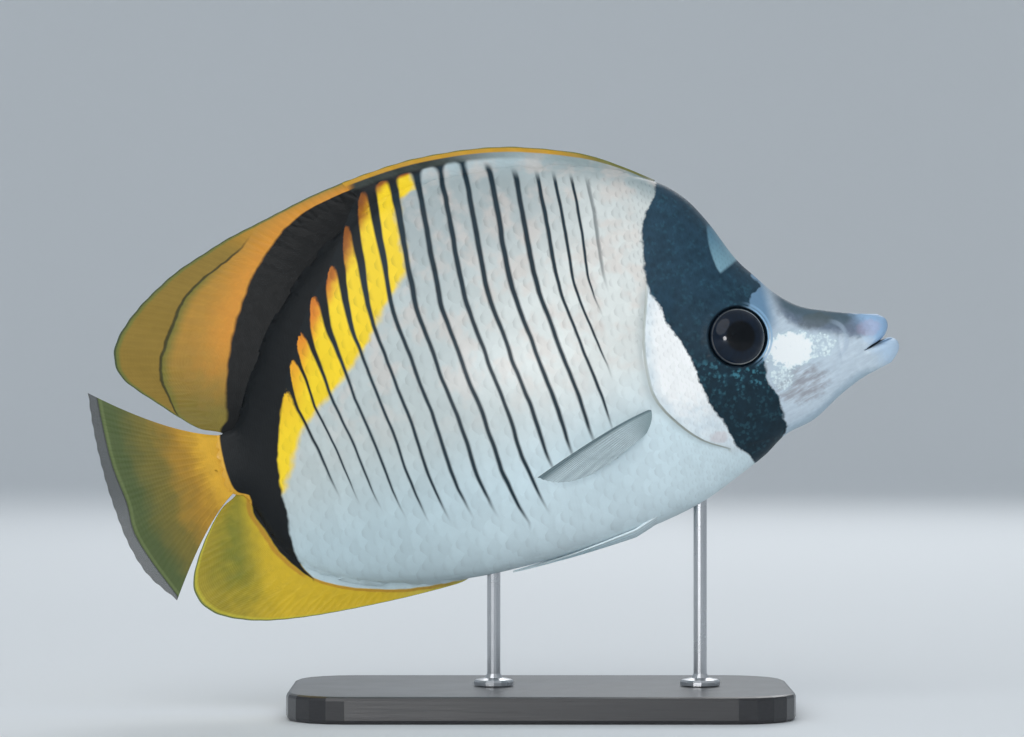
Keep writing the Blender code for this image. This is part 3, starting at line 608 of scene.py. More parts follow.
@dataclass(frozen=True)
class LivingColours:
    """The fish's own colours, shared by skin, scales and fins.

    Every step is given by the millimetres, or by the shares from 0 to 1, at which it starts and ends.
    """

    pose: FishPose = FishPose()
    form: FishBody = FishBody()
    marks: Markings = Markings()
    line: Colour = paint(21, 43, 54)
    band: Colour = paint(12, 17, 20)
    lemon: Colour = paint(218, 184, 46)
    rust: Colour = paint(168, 104, 44)
    eye_rim: float = 8.7

    def sheen(self, colour: Wire) -> Wire:
        """The coat's weight: pearly where the fish is pale and slight where it is dark."""
        return colour.shade.node("ShaderNodeRGBToBW", inputs={0: colour}).step(0.02, 0.4) * 0.2 + 0.03

    def flank(self, at: Spot) -> Wire:
        """The pale ground colour between the markings: paler low down, partly painted light, and greyer high
        on the back, partly painted shade.
        """
        # the pale lower flank is partly the belly's own colour, partly painted light where it faces down
        low = at.x.step(-50, 15).lay(paint(190, 210, 216), paint(214, 232, 238))
        mid = at.x.step(-20, 20).lay(paint(192, 202, 201), paint(228, 232, 228))
        dusk = at.x.step(12, 34).lay(paint(186, 206, 212), paint(124, 146, 152))
        cream = at.noise(8, 3).step(0.44, 0.64) * at.z.step(-14, 20)
        colour = layered((at.z - at.x * 0.15).step(-24, 8).lay(low, mid),
                         # greyer high on the back: partly painted shade
                         (at.z.step(28, 66) * (1 - at.x.step(10, 40) * 0.6), paint(164, 175, 176)),
                         (at.under(self.marks.dorsal_margin).step(12, 2) * 0.7, dusk),
                         (cream * 0.42, paint(222, 206, 196)))
        return (0.9 + at.noise(7, 3) * 0.13 + at.noise(1.8) * 0.07).tint(colour)

    def lines(self, at: Spot, ahead: Wire) -> Wire:
        """The dark upright lines, wider where the ground is yellow, closing up at the band and the margin.

        Args:
            at: the shaded point.
            ahead: its distance in front of the band.

        Returns:
            1 on a line and 0 off it.
        """
        marks, x, z = self.marks, at.x, at.z
        rear_lean = ((12 - z) / 40).clamp() * x.step(-25, -55) * 3.9
        sway = (at.noise(9, 1) - 0.5) * 0.9
        bow = (1 - abs(z - 28) / 20).clamp() * x.step(16, 32) * 1.3
        run = at.past(marks.line_lean) - rear_lean + sway + bow
        phase = run.read(marks.line_order())
        off = abs(phase - phase.maths("ROUND")) * marks.line_gap
        rim = at.under(marks.dorsal_margin)
        ragged = (at.noise(1.6) - 0.5) * 0.7
        nape = run.step(2, 24)
        edge = (1 + ragged - ahead / 4.5).clamp().maths("MAXIMUM", (1.7 - rim / 3.2).clamp() * (1 - nape))
        closing = 1 - (1 - edge * edge).maths("SQRT")
        past = z - run.read(marks.line_ends)
        upper = z.step(15, 45)
        near = (1 - ahead / 22).clamp() * (upper * 0.85 + 0.2)
        share = 0.5 + past.step(-3, 14) * 0.38 + upper * 0.22
        half = run.read(marks.line_half) * share + near + closing * 2.4
        line = ((off - half) / (0.4 + rim.step(9, 3) * 0.5)).step(1, -1)
        return line * past.step(-4, 6) * phase.step(-0.9, 0.7) * (rim / (1 + nape * 2.4)).step(1.8, 3.2)

    def body(self, at: Spot) -> Wire:
        """The colour anywhere on the body.

        Args:
            at: the shaded point.

        Returns:
            The colour.
        """
        marks, x, z = self.marks, at.x, at.z
        wobble = at.noise(3.2, 1) - 0.5
        ahead = at.past(marks.band_front) + wobble * 1.2
        yellow = (at.past(marks.yellow_edge) + wobble * 3.4).step(1.7, -1.7)
        warm = ahead + wobble * 3
        glow = (warm.step(8.5, 2) * z.step(2, 40)).lay(paint(252, 216, 36), paint(232, 134, 34))
        rust = warm.step(9, 1.5) * z.step(34, 62)
        ink = ahead.step(16, 6).lay(self.line, paint(17, 24, 28))
        rim = at.under(marks.dorsal_margin) + wobble * 0.6
        below = at.under(marks.anal_edge) + wobble * 0.5
        opening = at.past(marks.gill_edge)
        within = z.step(31, 24) * z.step(-26, -22)
        ground = layered(self.flank(at), (yellow, glow), (rust * yellow * 0.8, paint(104, 62, 34)),
                         (self.lines(at, ahead), ink), (ahead.step(0.45, -0.45), self.band),
                         (rim.step(3.9, 3.1) * x.step(-4, -14), self.band),
                         (below.step(-0.25, 0.25) * x.step(-21, -25) * ahead.step(-0.3, 0.3), self.lemon),
                         (at.behind(marks.band_rear).step(-0.3, 0.3) * z.step(16, 12), paint(222, 168, 54)),
                         # painted shadow of the gill plate on the flank just behind its edge
                         (opening.step(-3.4, -0.4) * within * 0.45, paint(160, 172, 174)))
        # a grey line along the gill opening: painted shade in the slit, soft and faint above, fine and
        # stronger below
        fold = abs(opening + 0.15).step(0.62, 0.22) * within * (0.45 + z.step(0, -10) * 0.4)
        cover = opening.step(-0.4, 0.4) * z.step(33, 29) * z.step(-27, -22).maths("MAXIMUM", x.step(71, 75))
        return layered(self.barred(at, ground), (cover, self.head(at)), (fold, paint(156, 160, 150)))

    def barred(self, at: Spot, ground: Wire) -> Wire:
        """Lays the dark bar through the eye over a ground, with its specks and the patch on the forehead.

        Args:
            at: the shaded point.
            ground: the colour under the bar.

        Returns:
            The colour with the bar.
        """
        marks, x, z = self.marks, at.x, at.z
        ragged = (at.noise(2) - 0.5) * 2.2
        rear = (at.past(marks.eye_bar_rear) + ragged).step(-0.5, 0.5)
        front = (at.behind(marks.eye_bar_front) + ragged).step(-0.5, 0.5)
        depth = 0.62 + at.cells(2.2) * 0.5 + at.noise(6) * 0.42
        dark = depth.tint(z.step(-14, 34).lay(paint(16, 40, 52), paint(34, 61, 78)))
        specks = (at.cells(1.5) * 0.6 + at.noise(1.1)).step(0.88, 0.56) * at.noise(3.6).step(0.4, 0.6)
        below = at.far(*self.form.eye_centre).step(20, 12.5) * z.step(6, -2) * 0.8 + 0.16
        blaze = at.past(marks.blaze_rear).step(-0.3, 0.5) * z.step(44, 41)
        blaze = blaze * (z - (x - 67.7) * 0.5).step(26.9, 28.3)
        dark = layered(dark, (specks * below, paint(66, 128, 146)),
                       (blaze, z.step(30, 42).lay(paint(128, 168, 184), paint(90, 132, 154))))
        return (rear * front).lay(ground, dark)

    def orbit(self, at: Spot, ground: Wire) -> Wire:
        """Lays the bare, dark ring round the eye over a ground, with fine pale blue arcs on its front, partly
        the rim's skin and partly painted highlight on its fold.
        """
        far = at.far(*self.form.eye_centre)
        ahead = ((at.x - self.form.eye_centre[0]) / far).step(0.25, 0.85)
        # pale blue arcs on the rim's fold, shown only on the front side: partly painted highlight
        arcs = abs(far - self.eye_rim - 0.55).step(0.36, 0.12)
        arcs = arcs.maths("MAXIMUM", abs(far - self.eye_rim - 1.55).step(0.5, 0.15) * 0.7)
        return layered(ground, (far.step(self.eye_rim + 0.9, self.eye_rim + 0.4), paint(22, 38, 50)),
                       (arcs * ahead, paint(150, 190, 222)))

    def mouth(self, at: Spot) -> Wire:
        """How far the point is above the line between the lips."""
        return at.z - (at.x * 0.366 - 41.96)

    def head(self, at: Spot) -> Wire:
        """The colour of the head in front of the gill opening."""
        fine, soft = at.noise(1.6, 3), at.noise(3.4)
        # the gill plate's own white, brightest where glare lies on its silver: partly painted highlight
        plate_white_and_glare = (at.past(self.marks.gill_edge) + soft * 3).step(1, 6) * (at.z + fine * 8).step(-12, 0)
        # painted shade: dark in the gap between the lips, where the mouth opens
        inside = at.x.step(107.6, 109.2) * abs(self.mouth(at)).step(0.46, 0.18)
        face = layered(soft.lay(paint(206, 220, 228), paint(242, 250, 252)), (plate_white_and_glare, paint(254, 255, 254)),
                       (at.patch(58.8, -19.8, 3, 2, fine) * 0.28, paint(196, 160, 158)),
                       (at.x.step(70, 76), self.snout(at, fine)), (inside, paint(40, 50, 66)))
        return self.orbit(at, self.barred(at, face))

    def snout(self, at: Spot, fine: Wire) -> Wire:
        """The face in front of the eye: dusky above, streaked below, with a painted highlight on the cheek.

        Args:
            at: the shaded point.
            fine: fine noise that breaks the edges.

        Returns:
            The colour.
        """
        x, z, soft = at.x, at.z, fine - 0.5
        under = at.under(self.form.back) + soft * 2.4
        over = z - x.read(self.form.belly) + soft * 1.6
        streak = at.shade.noise(at.shade.join(x * 0.16 + z * 0.05, 0, z * 0.8 - x * 0.28), 1, 3, 0.6)
        groove = abs(at.far(97, 2.4) - 5.4).step(1, 0.3)
        lips = self.mouth(at).step(-0.4, 0.4).lay(paint(190, 214, 236), paint(152, 186, 220))
        colour = layered(streak.lay(paint(172, 188, 202), paint(222, 236, 246)),
                         (at.patch(86, -9, 9, 6, fine) * streak.step(0.72, 0.36) * 0.7, paint(150, 146, 152)),
                         (over.step(3.6, 0.8) * 0.7, paint(160, 184, 200)),
                         (under.step(9, 5) * x.step(80, 87), paint(116, 130, 148)),
                         (under.step(6.4, 1.6) * x.step(81, 87), paint(82, 102, 114)),
                         (at.patch(94, 8.6, 5.5, 2.6, fine) * 0.4, paint(92, 98, 92)),
                         (x.step(84, 79) * z.step(6, 12), paint(112, 148, 178)),
                         # pale arc along the jaw bone's edge: painted highlight
                         (groove * x.step(97, 101) * 0.45, paint(172, 190, 208)),
                         (at.patch(105.8, 4.3, 3.6, 3.2, fine) * 0.6, paint(112, 124, 144)),
                         ((x + z * 0.35 + soft * 3).step(105.5, 112.5), lips),
                         (at.patch(109.4, 3.6, 4, 2.6, fine) * 0.3, paint(196, 174, 196)))
        return self.cheek_glint(at, fine, (0.88 + fine * 0.16).tint(colour))

    def cheek_glint(self, at: Spot, fine: Wire, ground: Wire) -> Wire:
        """A painted highlight: glare on the silvery skin in front of the eye, which breaks into bright cells
        round its edge.

        Args:
            at: the shaded point.
            fine: fine noise that breaks the edges.
            ground: the colour round the patch.

        Returns:
            The colour with the patch.
        """
        # painted highlight: how strongly the glare lies on each of three ovals of the cheek
        depth: Any = 0.0
        for *oval, weight in ((84.8, 1.6, 8.6, 6.4, 1), (93, 1.2, 7.4, 4.6, 0.66), (80.8, -6, 4.2, 5, 0.66)):
            depth = at.shade.maths("MAXIMUM", depth, at.patch(*oval, fine) * weight)
        cell = at.cells(0.8) * 0.34 + at.noise(1.3, 3, 0.6) * 0.86
        haze = (depth * 0.55).lay(ground, paint(190, 212, 222))
        tone = depth.lay(paint(186, 226, 234), paint(250, 254, 254))
        return (depth - cell).step(-0.1, 0.26).lay(haze, tone)


@dataclass(frozen=True)
class SkinFinish:
    """Satin, slightly pearly skin under and between the scales."""

    colours: LivingColours = LivingColours()

    def make(self) -> Material:
        """Builds the material."""
        at = Spot("skin_living", self.colours.pose)
        colour = self.colours.body(at)
        grain = at.cells(1.1) * 0.6 + at.noise(0.7) * 0.5
        return at.shade.finish(Base_Color=colour, Roughness=0.4 + at.noise(2.5) * 0.16,
                               Coat_Weight=self.colours.sheen(colour), Coat_Roughness=0.18,
                               Specular_IOR_Level=0.22, Normal=grain.bump(0.07))


@dataclass(frozen=True)
class ScaleFinish:
    """Thin scales that carry the skin's colours, each a tone of its own, with fine growth lines and painted
    shade along each free edge.
    """

    colours: LivingColours = LivingColours()

    def make(self) -> Material:
        """Builds the material."""
        at = Spot("scales_living", self.colours.pose)
        across, out, tone = at.shade.note("blade")
        # painted shade along each scale's free edge, where it lies over the next one; stronger higher up
        rim = out.step(0.84, 1) * (at.z.step(-10, 45) * 0.1 + 0.08)
        colour = ((0.955 + tone * 0.08) * (1 - rim)).tint(self.colours.body(at))
        height = (across * 38).wave() * out.step(0.85, 0.45) * 0.5 + (out * 60).wave() * 0.35
        return at.shade.finish(Base_Color=colour, Roughness=0.4 + tone * 0.08,
                               Coat_Weight=self.colours.sheen(colour), Coat_Roughness=0.2,
                               Specular_IOR_Level=0.22, Normal=height.bump(0.02))


@dataclass(frozen=True)
class FinFinish:
    """A ribbed fin, and the small scales on its base. Each kind of fin gives its own colour."""

    name: str = "fin"
    colours: LivingColours = LivingColours()
    coat: float = 0.05

    def colour(self, at: Spot) -> Wire:
        """The fin's colour."""
        raise NotImplementedError

    def alpha(self, at: Spot) -> Wire | float:
        """How solid the fin is."""
        return 1.0

    def coated(self, at: Spot, colour: Wire, roughness: Wire, normal: Wire, **more: Any) -> Material:
        """Ends a material with the thin coat that a fin and its scales share."""
        return at.shade.finish(Base_Color=colour, Roughness=roughness, Coat_Weight=self.coat,
                               Coat_Roughness=0.25, Specular_IOR_Level=0.12, Normal=normal, **more)

    def make(self) -> Material:
        """Builds the vane's material, with the joints along its rays and the grain of its membrane."""
        at = Spot(self.name, self.colours.pose)
        _, out, ray = at.shade.note("vane")
        joints = abs((out * 46).maths("FRACT") - 0.5).step(0.1, 0.3)
        grain = joints * 0.4 + at.noise(0.6) * 0.6
        return self.coated(at, (0.95 + ray * 0.07).tint(self.colour(at)), 0.46 + at.noise(3) * 0.1,
                           grain.bump(0.035), Alpha=self.alpha(at))

    def make_sheath(self) -> Material:
        """Builds the material of the scales on the fin's base."""
        at = Spot(self.name + "_sheath", self.colours.pose)
        _, along, tone = at.shade.note("blade")
        return self.coated(at, (0.96 + tone * 0.06).tint(self.colour(at)), 0.44 + tone * 0.1,
                           (along * 40).wave().bump(0.015))


@dataclass(frozen=True)
class SpinyFinish(FinFinish):
    """The low spiny dorsal fin: the flank's lines run up to a thin gold margin with a dark line under it."""

    name: str = "fin_spiny"

    def colour(self, at: Spot) -> Wire:
        """The flank's colour under a thin margin."""
        marks, x = self.colours.marks, at.x
        rear, near = x.step(30, -12), x.step(57, 50)
        rim = at.under(marks.dorsal_margin) / (0.5 + x.step(50, 30) * 0.45)
        dusk = rear.lay(paint(128, 142, 140), paint(52, 60, 56))
        gold = x.step(44, 24).lay(paint(122, 122, 70), paint(204, 154, 50))
        return layered(self.colours.body(at),
                       (at.behind(marks.band_rear).step(-0.7, 0.7) * x.step(-31, -34), paint(214, 146, 50)),
                       (rim.step(4.4, 3) * x.step(-37, -33) * (0.25 + rear * 0.75), dusk),
                       (rim.step(1.9, 1.4) * near, gold), (rim.step(0.6, 0.1) * near, paint(112, 118, 58)))


@dataclass(frozen=True)
class SoftFinish(FinFinish):
    """The soft dorsal fin: black band, then orange, olive beyond the crease, and a fine dark margin, with
    painted shade along the crease.
    """

    name: str = "fin_soft"
    crease: Profile = profile(0.2, 1.02, 0.3, 0.79, 0.48, 0.76, 0.65, 0.66, 0.8, 0.77, 0.91, 1.02)

    def colour(self, at: Spot) -> Wire:
        """Bands that follow the fin's base."""
        share, out, _ = at.shade.note("vane")
        wobble = at.noise(4) - 0.5
        behind = at.behind(self.colours.marks.band_rear)
        crease = out - share.read(self.crease) + wobble * 0.03
        within = share.step(0.24, 0.34)
        # the dark line along the crease is painted shade in the fold
        line = abs(crease).step(0.018, 0.004) * within * share.step(0.98, 0.88)
        colour = layered((behind + wobble * 5).step(0, 14).lay(paint(222, 150, 52), paint(184, 138, 54)),
                         ((share + wobble * 0.1).step(0.56, 0.9), paint(132, 116, 50)),
                         # beyond the crease: olive, partly the fin's own colour and partly painted shade
                         # where the fin bends away, with a thin band as it turns
                         (crease.step(-0.1, 0) * share.step(0.34, 0.46), paint(122, 118, 50)),
                         (crease.step(-0.012, 0.012) * within, paint(148, 122, 56)),
                         (line * 0.85, paint(50, 52, 34)), (out.step(0.95, 0.975), paint(120, 122, 62)),
                         (out.step(0.978, 0.992), paint(72, 84, 60)))
        streaks = at.past(self.colours.marks.band_front).step(-0.35, 0.35) * at.z.step(73, 71.5)
        dark = (behind + wobble * 1.4).step(0.7, -0.7)
        return layered((0.94 + wobble * 0.22).tint(colour), (dark, paint(5, 8, 10)),
                       (streaks, self.colours.body(at)))


@dataclass(frozen=True)
class AnalFinish(FinFinish):
    """The anal fin: clear yellow, greener to the rear, with a fine dark margin."""

    name: str = "fin_anal"

    def colour(self, at: Spot) -> Wire:
        """Yellow bands outside the black one."""
        marks, x, z = self.colours.marks, at.x, at.z
        _, out, _ = at.shade.note("vane")
        wobble = at.noise(4) - 0.5
        behind = at.behind(marks.band_rear) + wobble * 0.8
        ahead = at.past(marks.band_front)
        below = at.under(marks.anal_edge) + wobble * 0.5
        low = (out + wobble * 0.3).step(0.95, 0.3) * x.step(-80, -91)
        rust = abs(behind - 0.9).step(1.2, 0.3) * ahead.step(0, -2) * z.step(-39, -36)
        line = abs(below - 0.5).step(0.7, 0.2) * ahead.step(-2, 1) * x.step(-22, -34)
        colour = layered((x + wobble * 8).step(-97, -76).lay(paint(166, 148, 48), self.colours.lemon),
                         (x.step(-52, -22), paint(190, 184, 92)), (low, paint(116, 124, 48)),
                         (out.step(0.93, 0.96) * 0.6, paint(206, 196, 66)),
                         (out.step(0.972, 0.99), paint(100, 112, 64)))
        return layered((0.95 + wobble * 0.18).tint(colour),
                       (rust.maths("MAXIMUM", line) * 0.55, self.colours.rust),
                       (below.step(0.25, -0.25) * ahead.step(-0.3, 0.3), self.colours.flank(at)),
                       (behind.step(0.4, -0.4) * ahead.step(0.4, -0.4) * z.step(-40, -38), self.colours.band))


@dataclass(frozen=True)
class TailFinish(FinFinish):
    """The tail fin: gold, then olive, a fine pale line and a dark see-through margin."""

    name: str = "fin_tail"
    gold_edge: Profile = profile(28.5, -121.4, 18.4, -121.4, 5.8, -120.8, -5.6, -118.7, -14.9, -118.2,
                                 -25.2, -114.3, -35.9, -109.1)

    def colour(self, at: Spot) -> Wire:
        """Bands that follow the fin's rear edge."""
        wobble = at.noise(5, 3) - 0.5
        inner = at.past(self.gold_edge)
        front = (at.x + at.z * 0.2 + wobble * 8).step(-90, -100)
        colour = layered(front.lay(paint(226, 174, 56), paint(176, 134, 50)),
                         ((inner + wobble * 8).step(22, 12), paint(122, 112, 54)),
                         ((inner + wobble * 5).step(12, 3), paint(84, 98, 58)),
                         (abs(inner - 0.7).step(0.7, 0.1) * 0.55, paint(118, 132, 84)))
        behind = at.behind(self.colours.marks.band_rear) + wobble * 0.8
        return layered((0.94 + wobble * 0.2).tint(colour), (inner.step(0.2, -0.3), paint(58, 60, 58)),
                       (behind.step(0.4, -0.4), self.colours.band))

    def alpha(self, at: Spot) -> Wire:
        """See-through outside the pale line."""
        return 1 - at.past(self.gold_edge).step(0.2, -0.6) * 0.46


@dataclass(frozen=True)
class ClearFinish(FinFinish):
    """The pectoral and pelvic fins: translucent membrane on paler rays."""

    name: str = "fin_clear"
    root: Colour = paint(158, 178, 182)
    tip: Colour = paint(206, 222, 226)
    leading: Colour = paint(112, 132, 138)
    coat: float = 0.2

    def colour(self, at: Spot) -> Wire:
        """Darker at the root and along the first ray."""
        share, out, ray = at.shade.note("vane")
        colour = layered(out.step(0, 0.5).lay(self.root, self.tip), (share.step(0.14, 0.02), self.leading))
        return (0.8 + ray * 0.14 + at.noise(1.5) * 0.18).tint(colour)

    def alpha(self, at: Spot) -> Wire:
        """The membrane is clearer towards the margin."""
        _, out, ray = at.shade.note("vane")
        return (1.05 - out.step(0.15, 0.9) * (1 - ray) * 0.45).clamp()


@dataclass(frozen=True)
class EyeFinish:
    """A black, wet eye with a thin silver ring, by distance from its middle; the ring's brighter side is
    painted reflection.
    """

    def make(self) -> Material:
        """Builds the material."""
        shade = ShaderTree("eye_wet")
        far, angle, _ = shade.note("blade")
        turn = angle * (2 * math.pi)
        streaks = shade.noise(shade.join(turn.maths("COSINE") * 6, turn.maths("SINE") * 6, far * 2), 1, 3)
        # the silver ring is brighter on one side: painted reflection
        bright = (turn + 0.25).maths("COSINE").step(-0.7, 0.95) * 0.85 + 0.15
        ring = abs(far - 0.945).step(0.026, 0.008) * bright
        colour = (0.6 + streaks * 0.8).tint(far.step(0.46, 0.6).lay(paint(2, 6, 12), paint(9, 24, 40)))
        colour = layered(colour, (ring * (0.3 + streaks * 0.7), paint(206, 208, 204)),
                         (far.step(0.975, 0.99), paint(10, 18, 24)))
        return shade.finish(Base_Color=colour, Roughness=0.3, Coat_Weight=1.0, Coat_Roughness=0.02,
                            Coat_IOR=1.3, Specular_IOR_Level=0.05)


@dataclass(frozen=True)
class LacquerFinish:
    """Black satin lacquer with a faint brushed grain."""

    def make(self) -> Material:
        """Builds the material."""
        shade = ShaderTree("stand_lacquer")
        place = shade.object_place()
        x, y, z = shade.split(place)
        grain = shade.noise(shade.join(x * 0.06, y * 1.4, z * 1.4), 1, 4)
        return shade.finish(Base_Color=(grain * 0.7).lay(paint(22, 22, 25), paint(46, 45, 48)),
                            Roughness=0.26 + shade.noise(place, 22, 3) * 0.16, Coat_Weight=0.35,
                            Coat_Roughness=0.2, Normal=grain.bump(0.03))


@dataclass(frozen=True)
class SteelFinish:
    """Turned steel with fine rings from the lathe."""

    def make(self) -> Material:
        """Builds the material."""
        shade = ShaderTree("stand_steel")
        place = shade.object_place()
        rings = shade.noise(shade.join(0, 0, shade.split(place)[2] * 4), 1)
        return shade.finish(Base_Color=rings.lay(paint(178, 180, 184), paint(206, 208, 210)), Metallic=1.0,
                            Roughness=0.22 + shade.noise(place, 6) * 0.14, Normal=rings.bump(0.015))


@dataclass(frozen=True)
class PaleFinish:
    """The studio's plain pale ground."""

    name: str
    colour: Colour
    roughness: float = 0.75

    def make(self) -> Material:
        """Builds the material."""
        shade = ShaderTree(self.name)
        mottle = shade.noise(shade.node("ShaderNodeTexCoord", output="Object"), 0.5)
        return shade.finish(Base_Color=(0.99 + mottle * 0.02).tint(self.colour), Roughness=self.roughness)


@dataclass(frozen=True)
class Relief:
    """Folds, grooves and pits of the skin, as a change of the flesh's half width."""

    body: FishBody = FishBody()
    marks: Markings = Markings()
    plate_step: float = 0.5
    nostrils: tuple[Pair, ...] = ((83.8, 12.8), (86.2, 11.2))

    def gill(self, x: Array, z: Array) -> Array:
        """The gill cover's free edge: a plate that stands proud of the flank behind it, over a gutter."""
        step = 0.5
        edge = self.marks.gill_edge
        lean = (edge(z + step) - edge(z - step)) / (2 * step)
        ahead = (x - edge(z)) / np.sqrt(1 + lean * lean)
        plate = eased(9.0, 0.3, ahead) * eased(-0.35, 0.25, ahead) * self.plate_step
        return (plate - 0.28 * hill((ahead + 0.7) / 0.8)) * (eased(30.0, 25.0, z) * eased(-28.0, -22.0, z))

    def orbit(self, x: Array, z: Array) -> Array:
        """The eye's socket and the fold round it."""
        far = np.hypot(x - self.body.eye_centre[0], z - self.body.eye_centre[1])
        return 0.38 * hill((far - 9.4) / 0.7) - 2.6 * eased(8.9, 8.2, far)

    def snout(self, x: Array, z: Array) -> Array:
        """The groove over the upper lip, the end of the jaw's bone, the cheek's fold and the nostrils."""
        lip = -0.3 * hill((z - 4.6 + (x - 110) * 0.3) / 0.8) * eased(107, 109, x)
        bone_x = 99.6 + 0.03 * (z + 1) ** 2
        bone = -0.32 * hill((x - bone_x) / 0.6) * eased(-5.5, -3.5, z) * eased(6.5, 4.5, z)
        cheek = -0.3 * hill((z + 9 - (x - 84) * 0.12) / 1.2) * eased(80, 86, x) * eased(101, 95, x)
        pits = sum(-0.55 * hill(far / 0.55) + 0.22 * hill((far - 1.1) / 0.4)
                   for far in (np.hypot(x - px, z - pz) for px, pz in self.nostrils))
        return lip + bone + cheek + pits

    def __call__(self, x: Array, z: Array) -> Array:
        """How far the skin stands out at points of the side view."""
        return self.gill(x, z) + self.orbit(x, z) + self.snout(x, z)


@dataclass
class Skin:
    """One closed skin over body, head and jaws, with the relief that the scales lie on."""

    body: FishBody
    pose: FishPose
    relief: Relief
    finish: SkinFinish
    levels: int = 150
    tail_end: float = -88.3
    jaw_root: float = 104.0
    jaw_root_half: float = 4.7
    jaws_start: float = 107.0
    lips_level: float = -0.85
    inset: float = 0.14
    thinnest: float = 0.012
    mouth: Profile = profile(92, -2.2, 100, -2.1, 104, -2.4, 107, -2.8)
    jaw_top: Profile = profile(104, 9.2, 107, 8.35, 110.5, 7.75, 113, 7.05)
    jaw_floor: Profile = profile(104, -11.2, 107.8, -9.8, 111, -9, 114.4, -7.9)
    upper_front_x: Profile = profile(0, 112.3, 0.25, 114.3, 0.5, 115.4, 0.75, 115.1, 1, 113)
    upper_front_z: Profile = profile(0, -0.85, 0.25, 0.9, 0.5, 3.1, 0.75, 5.3, 1, 7.05)
    lower_front_x: Profile = profile(0, 112.3, 0.2, 115.2, 0.42, 117.2, 0.6, 117.6, 0.8, 116.5, 1, 114.4)
    lower_front_z: Profile = profile(0, -0.85, 0.2, -0.45, 0.42, -1.6, 0.6, -3.6, 0.8, -5.8, 1, -7.9)
    jaw_width: Profile = profile(104, 4.7, 107, 4.1, 109, 4, 111, 4.2, 118, 4.1)

    def stations(self) -> tuple[Array, Array]:
        """Where the sections lie: x up to the corner of the mouth, then the share of the way to the lips."""
        steps = 34
        front = np.sin(np.arange(1, steps + 1) / steps * math.pi / 2)
        x = np.concatenate([np.arange(self.tail_end, 44, 1.15), np.arange(44, 98, 0.55),
                            np.linspace(98, self.jaws_start, 22), np.full(steps, self.jaws_start)])
        return x, np.concatenate([np.zeros(len(x) - steps), front])

    def surface(self) -> Array:
        """The right side's points, one row for each station, from belly to back, as positive widths."""
        body = self.body
        x, front = (values[:, None] for values in self.stations())
        k = np.arange(self.levels + 1)[None, :] / self.levels
        upper = k >= 0.5
        low = np.where(x > self.jaw_root, self.jaw_floor(x), body.belly(x))
        high = np.where(x > self.jaw_root, self.jaw_top(x), body.back(x))
        cover = self.inset * (1 - eased(73.0, 80.0, x))
        flank_z = mixed(low + cover, high - cover, ((1 - np.cos(math.pi * k)) / 2) ** body.skew(x))
        reach = (1 - np.cos(math.pi * 2 * abs(k - 0.5))) / 2
        line = self.mouth(x)
        z = mixed(flank_z, mixed(line, np.where(upper, high, low), reach), eased(94.0, 106.0, x))
        place_x = mixed(x, np.where(upper, self.upper_front_x(reach), self.lower_front_x(reach)), front)
        place_z = mixed(z, np.where(upper, self.upper_front_z(reach), self.lower_front_z(reach)), front)
        inner = np.clip((place_z - low) / (high - low), 0.0, 1.0)
        share = mixed(inner, mixed(0.4, np.where(upper, 1.0, 0.0), reach), eased(0.0, 0.5, front))
        jaw_half = body.section(self.jaw_root, share) * self.jaw_width(place_x) / self.jaw_root_half
        half = mixed(body.half(place_x, place_z), jaw_half, eased(103.0, 107.0, place_x)) - cover * 0.9
        closing = np.sqrt(np.clip(1 - np.clip((front - 0.42) / 0.58, 0.0, 1.0) ** 2.2, 0.0, 1.0))
        opening = eased(106.4, 108.4, place_x)
        off = abs(place_z - mixed(line, self.lips_level, front))
        parted = mixed(1.0, dome(off / mixed(0.35, 1.25, eased(107.0, 112.5, place_x))), opening)
        full = 1 + 0.10 * opening * hill((off - 1.6) / 1.1)
        half = np.maximum(half * closing * parted * full, self.thinnest)
        half = half + self.relief(place_x, place_z) * (1 - eased(0.3, 0.7, front))
        return rows_of(place_x, np.maximum(half, self.thinnest), place_z)

    def build(self) -> Piece:
        """Builds the skin in place of the flesh's solids."""
        right = self.surface()
        rows, columns = right.shape[:2]
        left = right[:, ::-1].copy()
        right[..., 1] *= -1
        faces = grid(rows, 2 * columns, around=True)
        maps = np.concatenate([self.body.unwrap(half[..., 0], half[..., 2], side)
                               for half, side in zip((right, left), Side)], axis=1).reshape(-1, 2)
        corners = maps[faces]
        crossing = np.ptp(corners[..., 1], axis=1) > 0.1
        corners[crossing] = tiny_maps(corners[crossing], 0.002, 0.001)
        k = np.arange(columns - 1)
        cap = np.stack([k, k + 1, 2 * columns - 2 - k, 2 * columns - 1 - k], axis=1)
        caps = np.concatenate([cap[:, ::-1], cap + (rows - 1) * 2 * columns])
        clay = Clay()
        clay.add(np.concatenate([right, left], axis=1), [faces, caps],
                 [corners, tiny_maps(maps[caps], 0.001, 0.001)])
        piece = clay.into("skin", self.finish.make(), self.pose, "skin")
        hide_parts("head", "torso", "tail_base", "upper_jaw", "lower_jaw", "gill_cover_left",
                    "gill_cover_right")
        return piece


